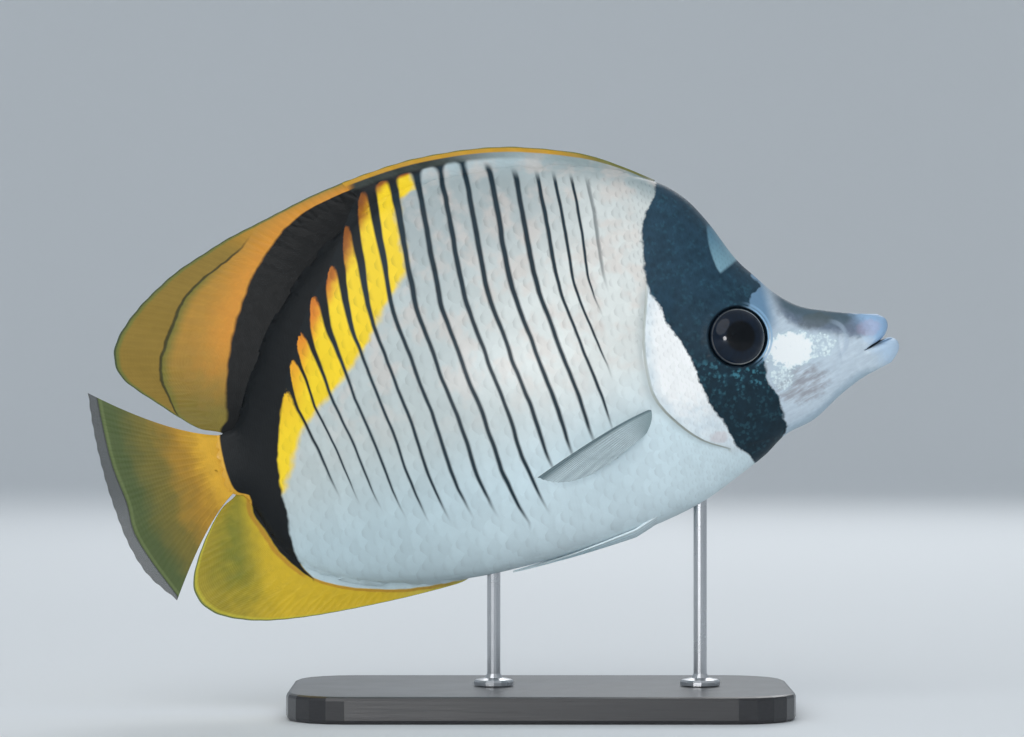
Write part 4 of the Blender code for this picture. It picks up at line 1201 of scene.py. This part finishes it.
class ScaleShape:
    """The shape that all scales share: a thin closed lens, as a grid of points and the faces between them."""

    def __init__(self, steps_along: int, steps_across: int) -> None:
        """Lays out the grid, with points from root to free edge and from side to side."""
        self.along = np.linspace(0, 1, steps_along)[:, None]
        self.across = np.linspace(-1, 1, steps_across)[None, :]
        rim = rim_of(steps_along, steps_across)
        self.top = grid(steps_along, steps_across)
        self.under = np.stack([rim, np.roll(rim, -1), np.full(len(rim), steps_along * steps_across)], axis=1)
        widest = 0.45
        tapered = np.sqrt(np.clip(1 - ((self.along - widest) / (1.01 - widest)) ** 2, 0, 1))
        rounded = 0.8 + 0.2 * np.sin(self.along / widest * math.pi / 2)
        self.outline = np.where(self.along > widest, tapered, rounded)

    def add(self, clay: Clay, upper: Array, bottom: Array, tone: Array, roots: Array, mirrored: bool,
            **notes: Array) -> None:
        """Adds many scales of this shape to a mesh.

        Args:
            clay: the mesh.
            upper: the points of each scale's upper side, by scale, along and across.
            bottom: one point under each scale.
            tone: a chance value for each scale.
            roots: each scale's place on the unwrapped skin.
            mirrored: whether the faces turn the other way.
            notes: further named values for the upper points, which the bottom takes from their mean.
        """
        count = len(upper)
        patch = 0.0035
        notes["blade"] = rows_of(self.across, self.along, tone[:, None, None])
        flat = {}
        for name, values in notes.items():
            values = values.reshape(count, -1, 3)
            flat[name] = np.concatenate([values, values.mean(axis=1, keepdims=True)], axis=1)
        points = np.concatenate([upper.reshape(count, -1, 3), bottom[:, None]], axis=1)
        local = rows_of(0.5 - self.along, self.across / 2).reshape(-1, 2) * patch
        maps = (roots[:, None] + np.concatenate([local, [[0.0, 0.0]]])[None]).reshape(-1, 2)
        shift = (np.arange(count) * points.shape[1])[:, None, None]
        faces = [(table[None] + shift).reshape(-1, table.shape[1]) for table in (self.top, self.under)]
        if mirrored:
            faces = [table[:, ::-1] for table in faces]
        clay.add(points, faces, [maps[table] for table in faces], **flat)


@dataclass
class ScaleCoat:
    """Scales in staggered rows over the skin, whose free edges point to the tail and lie on the next ones."""

    body: FishBody
    pose: FishPose
    relief: Relief
    finish: ScaleFinish
    shape: ScaleShape
    pitch: Profile = profile(
        -88, 3, -70, 4.2, -30, 5.6, 20, 5.6, 38, 4.6, 48, 2.6, 58, 1.9, 66, 1.8, 82, 1.7)
    row_share: float = 0.98
    length_share: float = 1.75
    width_share: float = 1.38
    front_height: float = -0.09
    rear_height: float = 0.012
    crown: float = 0.010
    last: float = 80.0
    eye_clear: float = 10.3
    brow: float = 29.0
    nape_end: float = 92.0
    spill: float = 0.9
    pieces: int = 3
    seed: int = 7

    def lattice(self) -> Array:
        """The scales' middles on one side, as rows of x, z and pitch."""
        fine = np.linspace(-87.0, self.last, 2000)
        count = np.concatenate([[0], np.cumsum(np.diff(fine) / self.pitch(fine[:-1]))])
        rows = []
        for column in range(int(count[-1] * 2)):
            x = float(np.interp(column * 0.5, count, fine))
            size = float(self.pitch(x))
            gap = size * self.row_share
            rows += [(x, (row + 0.5 * (column % 2)) * gap, size) for row in range(-60, 60)]
        spots = np.array(rows)
        x, z, size = spots.T
        inside = (z > self.body.belly(x) + 0.25 * size) & (z < self.body.back(x) - 0.25 * size)
        eye_x, eye_z = self.body.eye_centre
        clear = np.hypot(x - eye_x, z - eye_z) > self.eye_clear + 0.5 * size
        snout = x < np.where(z < self.brow, self.relief.marks.eye_bar_front(z) - 1.6, self.nape_end)
        return spots[inside & clear & snout]

    def build(self, side: Side) -> list[Piece]:
        """Builds the scales of one side, in pieces."""
        spots = self.lattice()
        rng = np.random.default_rng(self.seed + side.value)
        made = []
        for number, part in enumerate(np.array_split(spots[np.argsort(spots[:, 0])], self.pieces)):
            clay = Clay()
            self.fill(clay, part, side, rng)
            name = f"scales_{side.name.lower()}_{number + 1}"
            made.append(clay.into(name, self.finish.make(), self.pose, "skin"))
        return made

    def fill(self, clay: Clay, spots: Array, side: Side, rng: np.random.Generator) -> None:
        """Adds scales to a mesh.

        Args:
            clay: the mesh.
            spots: rows of x, z and pitch.
            side: the side they are on.
            rng: the source of their small differences.
        """
        count = len(spots)
        jitter = rng.normal(0, 0.05, (count, 2)) * spots[:, 2:3]
        tone = rng.random(count)
        turn = rng.normal(0, 0.04, count)[:, None, None]
        x0, z0 = (spots[:, k][:, None, None] + jitter[:, k][:, None, None] for k in (0, 1))
        size = spots[:, 2][:, None, None]
        along, across = self.shape.along, self.shape.across
        back = (along - 0.62) * size * self.length_share
        up = across * self.shape.outline * size * self.width_share / 2
        x = x0 - back + up * turn
        z = z0 + up + back * turn
        finned = np.where(z > 0, eased(54.0, 44.0, x), eased(-21.0, -31.0, x))
        spill = mixed(-0.25, self.spill * eased(-88.0, -82.0, x), finned)
        z = np.clip(z, self.body.belly(x) - spill, self.body.back(x) + spill)
        edge = self.relief.marks.gill_edge
        kept = np.where(x0 < edge(z0), np.minimum(x, edge(z) - 0.5), np.maximum(x, edge(z) + 0.3))
        x = np.where((z0 > -25) & (z0 < 30), kept, x)
        scaled = np.minimum(size / 4, 1.2)
        height = (mixed(self.front_height, self.rear_height, along) + self.crown * (1 - across ** 2)) * scaled
        upper = self.on_flank(x, z, height, side)
        bottom = self.on_flank(x0 - 0.12 * size, z0, self.front_height * scaled, side)[:, 0, 0]
        roots = self.body.unwrap(spots[:, 0], spots[:, 1], side)
        self.shape.add(clay, upper, bottom, tone, roots, side is Side.LEFT)

    def on_flank(self, x: Array, z: Array, height: Array, side: Side) -> Array:
        """Points that stand a height off one side's flank, as rows of x, y, z."""
        wide = self.body.half(x, z) + self.relief(x, z)
        point = rows_of(x, wide, z) + self.body.normal(x, z) * height[..., None]
        point[..., 1] *= side.value
        return point


class Line:
    """A fine line through points in the fish's middle plane, read by the share of its length."""

    def __init__(self, points: Sequence[Pair], steps: int = 8) -> None:
        """Rounds the line through its points of x and z, with fine points in each stretch."""
        knots = np.array([(x, 0.0, z) for x, z in points])
        knots = np.concatenate([[2 * knots[0] - knots[1]], knots, [2 * knots[-1] - knots[-2]]])
        a, b, c, d = (knots[k:len(knots) - 3 + k, None] for k in range(4))
        t = (np.arange(steps) / steps)[None, :, None]
        fine = 0.5 * (2 * b + (c - a) * t + (2 * a - 5 * b + 4 * c - d) * t ** 2
                      + (3 * b - a - 3 * c + d) * t ** 3)
        self.points = np.concatenate([fine.reshape(-1, 3), knots[-2:-1]])
        run = run_of(self.points)
        self.shares = run / run[-1]

    def __call__(self, share: Array) -> Array:
        """The points at shares of the line's length."""
        return rows_of(*(np.interp(share, self.shares, self.points[:, k]) for k in range(3)))


@dataclass
class Fin:
    """A fin as one thin closed vane, ridged along its rays, which fork towards the margin."""

    body: FishBody
    pose: FishPose
    finish: FinFinish
    name: str
    node: str
    slot: str
    rays: int
    columns: int = 12
    rows: int = 70
    spines: int = 0
    root_half: float = 1.15
    edge_half: float = 0.16
    ridge: float = 0.17
    spine_ridge: float = 0.26
    bare_from: float = 0.30
    scaly: float = 0.0
    scale_size: float = 2.3
    forks: Pair = (0.42, 0.74)
    wave: float = 0.10
    notch: float = 0.004

    def middle(self, share: Array, out: Array) -> Array:
        """The vane's middle surface. Each kind of fin gives its own.

        Args:
            share: share of the way across the fin, from its first ray to its last.
            out: share of the way from root to margin.

        Returns:
            Rows of x, y, z.
        """
        raise NotImplementedError

    def soft(self, share: Array) -> Array:
        """1 over the soft rays and 0 over the spines in front of them."""
        return eased(self.spines - 0.6, self.spines - 0.4, share * (self.rays - 1))

    def relief(self, share: Array, out: Array) -> Array:
        """How much of a ray is under each point, 1 on its crest and 0 on the membrane."""
        place = share * (self.rays - 1)
        first, second = self.forks
        one = np.abs(np.cos(math.pi * place)) ** 6
        spread = 0.25 * eased(first, first + 0.3, out)
        centred = place - np.round(place)
        apart = 0.11 * eased(second, second + 0.22, out)
        near = np.abs(centred) - spread
        two = np.maximum(hill((centred - spread) / 0.11), hill((centred + spread) / 0.11))
        four = np.maximum(hill((near - apart) / 0.07), hill((near + apart) / 0.07))
        forked = np.where(out > second, four, two)
        return mixed(one, mixed(one, forked, eased(first, first + 0.1, out)), self.soft(share))

    def half(self, share: Array, out: Array) -> Array:
        """Half the vane's thickness."""
        plain = mixed(self.edge_half, self.root_half, (1 - out) ** 2.4 * eased(-0.01, 0.05, share))
        crest = mixed(self.spine_ridge, self.ridge, self.soft(share))
        return plain + crest * (1 - 0.55 * out) * eased(0.0, self.bare_from, out) * self.relief(share, out)

    @staticmethod
    def unwrap(share: Array, out: Array, side: Side) -> Array:
        """Place of a point of the vane on the unwrapped fin, each side laid flat."""
        return rows_of(0.02 + 0.96 * share, (0.01 if side is Side.RIGHT else 0.51) + 0.47 * out)

    def faces_left(self) -> bool:
        """Whether the way across and then out turns to the fish's left."""
        first, aside, beyond = self.middle(np.array([0.5, 0.52, 0.5]), np.array([0.5, 0.5, 0.52]))
        return bool(np.cross(aside - first, beyond - first)[1] > 0)

    def build(self) -> Piece:
        """Builds the vane in place of its solid."""
        columns = (self.rays - 1) * self.columns + 1
        out, share = np.meshgrid(np.linspace(0, 1, self.rows), np.linspace(0, 1, columns), indexing="ij")
        between = np.sin(math.pi * share * (self.rays - 1)) ** 2
        place = self.middle(share, out * (1 - self.notch * between))
        normal = np.cross(np.gradient(place, axis=1), np.gradient(place, axis=0))
        normal /= np.maximum(length(normal)[..., None], 1e-9)
        flip = np.where(normal[..., 1:2] < 0, -1.0, 1.0)
        normal = normal * flip
        sway = self.wave * np.sin(share * (self.rays - 1) * 2.1 + out * 3) * out ** 2
        place = place + normal * sway[..., None]
        half = self.half(share, out)[..., None]
        faces = grid(self.rows, columns)
        total = self.rows * columns
        rim = rim_of(self.rows, columns)
        following = np.roll(rim, -1)
        wall = np.stack([rim, following, following + total, rim + total], axis=1)
        if np.median(flip) > 0:
            tables = [faces[:, ::-1], faces + total, wall]
        else:
            tables = [faces, faces[:, ::-1] + total, wall[:, ::-1]]
        maps = np.concatenate([self.unwrap(share, out, side).reshape(-1, 2) for side in Side])
        corners = [maps[tables[0]], maps[tables[1]], tiny_maps(maps[tables[2] % total], 0.001, 0.001)]
        note = rows_of(share, out, self.relief(share, out))
        clay = Clay()
        sides = np.stack([place - normal * half, place + normal * half])
        clay.add(sides, tables, corners, vane=np.stack([note, note]))
        piece = clay.into(self.name, self.finish.make(), self.pose, self.slot)
        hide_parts(self.node)
        return piece


@dataclass
class FinSheath:
    """Small scales that run from the body out over a fin, in rows along its root, smaller farther out."""

    fin: Fin
    shape: ScaleShape
    reach: float = 0.5
    size: float = 2.3
    last_size: float = 1.2
    gap_across: float = 0.80
    gap_along: float = 0.52
    start: float = 0.7
    first: float = 0.03
    seed: int = 11

    def spots(self) -> Array:
        """The scales' middles, as rows of share across the fin, share out along it, and size."""
        share = np.linspace(0, 1, 600)
        tall = length(self.fin.middle(share, share * 0 + 1) - self.fin.middle(share, share * 0))
        rows = []
        away, number = self.start, 0
        while away < self.reach * tall.max():
            size = mixed(self.size, self.last_size, away / (self.reach * tall.max()))
            out = away / tall
            run = run_of(self.fin.middle(share, np.minimum(out, 1.0)))
            stops = (np.arange(int(run[-1] / (size * self.gap_across))) + 0.25 + 0.5 * (number % 2)) * size
            at = np.interp(stops * self.gap_across, run, share)
            rows.append(rows_of(at, np.interp(at, share, out), size))
            away += size * self.gap_along
            number += 1
        spots = np.concatenate(rows)
        ragged = 0.06 * np.sin(spots[:, 0] * 90) * np.cos(spots[:, 0] * 37)
        return spots[(spots[:, 1] < self.reach + ragged) & (spots[:, 0] > self.first)]

    def build(self) -> Piece:
        """Builds the scales of both sides of the fin as one piece."""
        rng = np.random.default_rng(self.seed)
        spots = self.spots()
        count = len(spots)
        share, out, size = ((spots[:, k] + rng.normal(0, spread, count))[:, None, None]
                            for k, spread in enumerate((0.0, 0.0, 0.05)))
        step = 0.004
        middle, along, across = self.fin.middle, self.shape.along, self.shape.across
        across_rate = length(middle(share + step, out) - middle(share - step, out)) / (2 * step)
        along_rate = length(middle(share, out + step) - middle(share, out - step)) / (2 * step)
        aside = across * self.shape.outline * size * 0.68
        wide = np.clip(share + aside / np.maximum(across_rate, 1.0), 0.0, 1.0)
        far = np.clip(out + (along - 0.45) * size * 1.5 / along_rate, 0.0, 0.98)
        lift = 0.05 * along - 0.01 + 0.008 * (1 - across ** 2)
        clay = Clay()
        for side in Side:
            upper = middle(wide, far)
            upper[..., 1] += side.value * (self.fin.half(wide, far) + lift)
            bottom = middle(share, out)[:, 0, 0]
            bottom[:, 1] += side.value * (self.fin.half(share, out)[:, 0, 0] - 0.04)
            roots = self.fin.unwrap(spots[:, 0], spots[:, 1], side)
            turned = (side is Side.LEFT) == self.fin.faces_left()
            tone = rng.random(count)
            self.shape.add(clay, upper, bottom, tone, roots, turned, vane=rows_of(wide, far, 0.6))
        name = f"{self.fin.name}_scales"
        return clay.into(name, self.fin.finish.make_sheath(), self.fin.pose, self.fin.slot)


@dataclass
class UprightFin(Fin):
    """A fin that stands along the back or belly."""

    base: Pair = (0.0, 0.0)
    on_back: bool = True
    margin: tuple[Pair, ...] = ()
    base_power: float = 1.0
    margin_power: float = 1.0
    sunk: float = 1.6
    crease: Profile | None = None
    bend: float = 0.0

    def root(self, share: Array) -> Array:
        """The points where the rays leave the body, a little inside it."""
        line = self.body.back if self.on_back else self.body.belly
        point = Line([(x, float(line(x))) for x in np.linspace(*self.base, 91)], steps=1)(share)
        point[..., 2] += -self.sunk if self.on_back else self.sunk
        return point

    def middle(self, share: Array, out: Array) -> Array:
        """The vane between the base and the margin, bent past its crease."""
        root = self.root(share ** self.base_power)
        tip = Line(self.margin)(share ** self.margin_power)
        point = mixed(root, tip, out[..., None])
        if self.crease:
            point[..., 1] += self.bend * length(tip - root) * np.maximum(out - self.crease(share), 0.0)
        return point


@dataclass
class TailFin(Fin):
    """The tail fin, whose rays leave the root level and open into a fan."""

    root_x: float = -86.8
    root_spread: float = 8.8
    margin: tuple[Pair, ...] = pairs(
        -124, 29, -124.5, 17.7, -124, 3.9, -122.6, -8, -120.4, -19, -116.5, -28.5, -109.6, -37.2)
    top_bend: Pair = (-102.0, 11.8)
    low_bend: Pair = (-96.2, -15.0)

    def middle(self, share: Array, out: Array) -> Array:
        """The fan of bent rays."""
        root = rows_of(self.root_x, 0.0, mixed(self.root_spread, -self.root_spread, share))
        bend = rows_of(mixed(self.top_bend[0], self.low_bend[0], share), 0.0,
                       mixed(self.top_bend[1], self.low_bend[1], share))
        out = out[..., None]
        return mixed(mixed(root, bend, out), mixed(bend, Line(self.margin)(share), out), out)


@dataclass
class PectoralFin(Fin):
    """A pectoral fin, standing out from the flank behind the gill cover."""

    side: Side = Side.RIGHT
    roots: tuple[Pair, Pair] = ((40.6, -7.6), (38.2, -13.6))
    bends: tuple[Triple, Triple] = ((29.0, 10.0, -9.6), (33.6, 3.4, -17.0))
    tips: tuple[Triple, Triple, Triple] = ((3.6, 26.5, -20.4), (12.0, 17.0, -27.0), (27.5, 7.5, -19.8))
    bow: float = 0.8

    def middle(self, share: Array, out: Array) -> Array:
        """The fan of bent rays, from the flank outward."""
        upper, lower = (np.array([x, float(self.body.half(x, z)) - 0.9, z]) for x, z in self.roots)
        off = np.array([0.0, upper[1], 0.0])
        across, reach = share[..., None], out[..., None]
        root = mixed(upper, lower, across) + np.array([self.bow, 0.0, 0.0]) * 4 * across * (1 - across)
        bend = mixed(*(np.array(place) + off for place in self.bends), across)
        first, middle, last = (np.array(place) + off for place in self.tips)
        tip = mixed(mixed(first, middle, across), mixed(middle, last, across), across)
        point = mixed(mixed(root, bend, reach), mixed(bend, tip, reach), reach)
        point[..., 1] *= self.side.value
        return point


@dataclass
class PelvicFin(Fin):
    """A pelvic fin, folded back and laid along the underside of the belly."""

    side: Side = Side.RIGHT
    root_x: float = 39.2
    tip_x: float = -9.0
    outer: Profile = profile(0, 6.8, 0.25, 6.6, 0.55, 5.2, 1, 2.2)
    inner: Profile = profile(0, 3.6, 0.25, 1.6, 0.55, 1, 1, 1)
    clear: float = 0.8

    def middle(self, share: Array, out: Array) -> Array:
        """The folded fan, held just off the belly."""
        body = self.body
        reach = out * (1 - 0.12 * share)
        x = mixed(self.root_x, self.tip_x, reach)
        y = mixed(self.outer(reach), self.inner(reach), share)
        strip, wide = body.belly_strip(x), body.width(x)
        rise = np.clip((y - strip) / (wide - strip), 0.0, 1.0) ** (1 / body.belly_edge(x))
        level = ((1 - np.sqrt(1 - rise * rise)) / 2) ** body.skew(x)
        z = mixed(body.belly(x), body.back(x), level) - self.clear * np.minimum(1.0, 12 * reach - 1.5)
        return rows_of(x, self.side.value * y, z)


@dataclass
class Eye:
    """An eyeball set in the head."""

    body: FishBody
    pose: FishPose
    side: Side
    finish: EyeFinish
    radius: float = 8.6
    depth: float = 4.6
    proud: float = 3.1
    rings: int = 60
    around: int = 96

    def axes(self) -> tuple[Array, Array]:
        """The eye's middle, and its own axes as rows: across, up and out."""
        x, z = self.body.eye_centre
        out = self.body.normal(np.array(x), np.array(z))
        centre = np.array([x, float(self.body.half(x, z)), z]) + out * (self.proud - self.depth)
        across = np.cross(out, [0.0, 0.0, 1.0])
        across /= length(across)
        return centre, np.array([across, np.cross(across, out), out])

    def build(self) -> Piece:
        """Builds the eyeball in place of its solid."""
        centre, axes = self.axes()
        polar = np.linspace(0.002, math.pi - 0.002, self.rings)[:, None]
        turn = (np.arange(self.around) / self.around * 2 * math.pi)[None, :]
        flat = np.sin(polar)
        local = rows_of(flat * np.cos(turn) * self.radius, flat * np.sin(turn) * self.radius,
                        np.cos(polar) * self.depth)
        points = centre + local @ axes
        points[..., 1] *= self.side.value
        far = np.where(polar < math.pi / 2, flat, 2 - flat)
        maps = rows_of(0.5 + 0.245 * far * np.cos(turn), 0.5 + 0.245 * far * np.sin(turn)).reshape(-1, 2)
        total = self.rings * self.around
        faces = grid(self.rings, self.around, around=True)
        caps = [np.arange(self.around)[None], total - 1 - np.arange(self.around)[None]]
        if self.side is Side.RIGHT:
            faces = faces[:, ::-1]
        else:
            caps = [cap[:, ::-1] for cap in caps]
        clay = Clay()
        clay.add(points, [faces, *caps], [maps[faces], *(maps[cap] for cap in caps)],
                 blade=rows_of(far, turn / (2 * math.pi), 0.0))
        name = self.side.name.lower()
        piece = clay.into(f"eye_ball_{name}", self.finish.make(), self.pose, "eyes")
        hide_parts(f"eye_{name}")
        return piece


@dataclass
class DisplayStand:
    """The stand's base and rods, which keep their solids."""

    lacquer: LacquerFinish
    steel: SteelFinish

    def dress(self) -> None:
        """Gives each of the stand's solids its finish."""
        black, bright = self.lacquer.make(), self.steel.make()
        for name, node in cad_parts.items():
            if name.startswith("stand_"):
                chosen = bright if "rod" in name else black
                for holder in node.material_slots:
                    holder.material = chosen
                if not node.material_slots:
                    node.data.materials.append(chosen)
                LOG.info("%s dressed", name)


@dataclass
class Studio:
    """A pale floor that curves up into a wall all round, soft lights and the camera."""

    floor_radius: float = 2.4
    curve_radius: float = 1.2
    wall_height: float = 3.0
    camera_away: float = 1.1
    pixel: float = 0.0003
    image_width: int = 1024
    fish_middle: Pair = (0.00546, 0.0910 + 0.01215)
    aim: Triple = (0.0, 0.0, 0.1)

    def build_ground(self) -> None:
        """Builds the floor and wall as one turned shape."""
        turns, steps = 96, 24
        floor, curve = self.floor_radius, self.curve_radius
        corner = [(floor + curve * math.sin(a), curve * (1 - math.cos(a)))
                  for a in (k / steps * math.pi / 2 for k in range(steps + 1))]
        line = [(0.001, 0), (0.3, 0), (1, 0), *corner, (floor + curve, self.wall_height)]
        angles = np.arange(turns) / turns * 2 * math.pi
        points = np.array([[(r * math.cos(a), r * math.sin(a), z) for a in angles] for r, z in line])
        mesh = bpy.data.meshes.new("studio_ground")
        mesh.from_pydata(points.reshape(-1, 3).tolist(), [], grid(len(line), turns, around=True).tolist())
        mesh.shade_smooth()
        mesh.materials.append(PaleFinish("studio_pale", paint(226, 230, 233)).make())
        ground = bpy.data.objects.new("studio_ground", mesh)
        bpy.context.scene.collection.objects.link(ground)

    def build_light(self, name: str, place: Triple, size: float, power: float) -> None:
        """Adds a round soft light of a width and a power in watts, which points at the model."""
        lamp = bpy.data.lights.new(name, "AREA")
        lamp.shape = "DISK"
        lamp.size = size
        lamp.energy = power
        holder = bpy.data.objects.new(name, lamp)
        holder.location = place
        holder.rotation_euler = (Vector(self.aim) - Vector(place)).to_track_quat("-Z", "Y").to_euler()
        bpy.context.scene.collection.objects.link(holder)

    def build_camera(self) -> None:
        """Adds the camera, which sees the fish as large as the photo shows it."""
        lens = bpy.data.cameras.new("photo_camera")
        lens.sensor_width = 36.0
        lens.lens = lens.sensor_width * self.camera_away / (self.image_width * self.pixel)
        lens.clip_start = 0.05
        lens.clip_end = 20.0
        camera = bpy.data.objects.new("photo_camera", lens)
        camera.location = (self.fish_middle[0], -self.camera_away, self.fish_middle[1])
        camera.rotation_euler = (math.radians(90), 0.0, 0.0)
        bpy.context.scene.collection.objects.link(camera)
        bpy.context.scene.camera = camera

    def build(self) -> None:
        """Builds ground, lights, world and camera."""
        self.build_ground()
        self.build_light("key_light", (-0.5, -1.15, 1.0), 1.4, 7.5)
        self.build_light("front_light", (-0.16, -1.55, 0.16), 0.28, 5.0)
        self.build_light("back_light", (0.2, 1.3, 1.0), 1.0, 6.0)
        world = bpy.data.worlds.new("studio_air")
        world.use_nodes = True
        back = world.node_tree.nodes["Background"]
        back.inputs["Color"].default_value = (0.9, 0.95, 1.0, 1.0)
        back.inputs["Strength"].default_value = 0.62
        bpy.context.scene.world = world
        bpy.context.scene.view_settings.view_transform = "Standard"
        self.build_camera()
        LOG.info("studio ready")


def make_fins(body: FishBody, pose: FishPose) -> list[Fin]:
    """The fish's fins, each with its own sizes.

    Args:
        body: the flesh they grow from.
        pose: carries them into the frame.

    Returns:
        The fins, not yet built.
    """
    yellow, clear = "yellow_fins", "clear_fins"
    spiny = UprightFin(
        body, pose, SpinyFinish(), "dorsal_vane_spiny", "dorsal_fin_spiny", yellow, rays=12, columns=18,
        rows=26, spines=12, notch=0.015, wave=0.0, scaly=0.7, scale_size=3.0, bare_from=0.8,
        base=(54.0, -29.0), margin_power=0.78, margin=pairs(
            55.2, 59.2, 45.7, 65.5, 34.7, 71.4, 17.4, 76.7, 5.5, 78.7, -6.6, 79.4, -18.8, 79.1, -34.2, 77,
            -37.3, 76.3))
    soft = UprightFin(
        body, pose, SoftFinish(), "dorsal_vane_soft", "dorsal_fin_soft", yellow, rays=25, rows=84, scaly=0.5,
        bare_from=0.9, ridge=0.09, base=(-29.0, -85.2), base_power=0.92, crease=SoftFinish().crease,
        bend=0.24, margin=pairs(
            -37.3, 76.3, -48, 74, -62.2, 69.9, -74, 66.5, -82.7, 63.2, -92, 59.2, -99.5, 54.7, -106, 50,
            -111.2, 45, -114.1, 40.3, -114.7, 35.5, -113.2, 31.2, -109.5, 27, -104.5, 22.2, -99, 17, -93, 12,
            -86.8, 10.1))
    anal = UprightFin(
        body, pose, AnalFinish(), "anal_vane", "anal_fin", yellow, rays=24, rows=64, spines=3, scaly=0.45,
        bare_from=0.8, ridge=0.14, base=(-22.5, -85.0), on_back=False, base_power=0.9, margin=pairs(
            -21.5, -47, -26, -48.3, -40.2, -49.3, -55.9, -49.7, -71.3, -49.5, -83.7, -48.4, -92.7, -46.2,
            -99.2, -43.1, -103, -38.8, -104, -34, -102.5, -29, -99, -22.6, -94.7, -16.6, -90.7, -12.3,
            -86.6, -10.1))
    tail = TailFin(
        body, pose, TailFinish(), "tail_vane", "tail_fin", yellow, rays=17, columns=14, rows=70,
        root_half=1.9, scaly=0.22, bare_from=0.4, ridge=0.13)
    made: list[Fin] = [spiny, soft, anal, tail]
    # very pale, partly the fins' own white and partly painted light against the shade under the belly,
    # brightest along the leading edge
    pelvic = ClearFinish("fin_pelvic", root=paint(222, 238, 244), tip=paint(214, 240, 248),
                         leading=paint(232, 246, 250))
    for side in Side:
        label = side.name.lower()
        made.append(PectoralFin(
            body, pose, ClearFinish(), f"pectoral_vane_{label}", f"pectoral_fin_{label}", clear, rays=15,
            columns=10, rows=56, root_half=0.55, edge_half=0.1, ridge=0.14, wave=0.15, side=side))
        made.append(PelvicFin(
            body, pose, pelvic, f"pelvic_vane_{label}", f"pelvic_fin_{label}", clear, rays=6, columns=12,
            rows=60, root_half=0.5, edge_half=0.12, ridge=0.14, wave=0.0, side=side))
    return made


def main() -> None:
    """Builds the dressed fish, its stand and the studio."""
    logging.basicConfig(level=logging.INFO, format="%(message)s")
    body, pose, relief = FishBody(), FishPose(), Relief()
    Skin(body, pose, relief, SkinFinish()).build()
    broad, small = ScaleShape(6, 7), ScaleShape(4, 5)
    for side in Side:
        ScaleCoat(body, pose, relief, ScaleFinish(), broad).build(side)
        Eye(body, pose, side, EyeFinish()).build()
    for fin in make_fins(body, pose):
        fin.build()
        if fin.scaly:
            FinSheath(fin, small, reach=fin.scaly, size=fin.scale_size).build()
    DisplayStand(LacquerFinish(), SteelFinish()).dress()
    Studio().build()


if __name__ == "__main__":
    main()
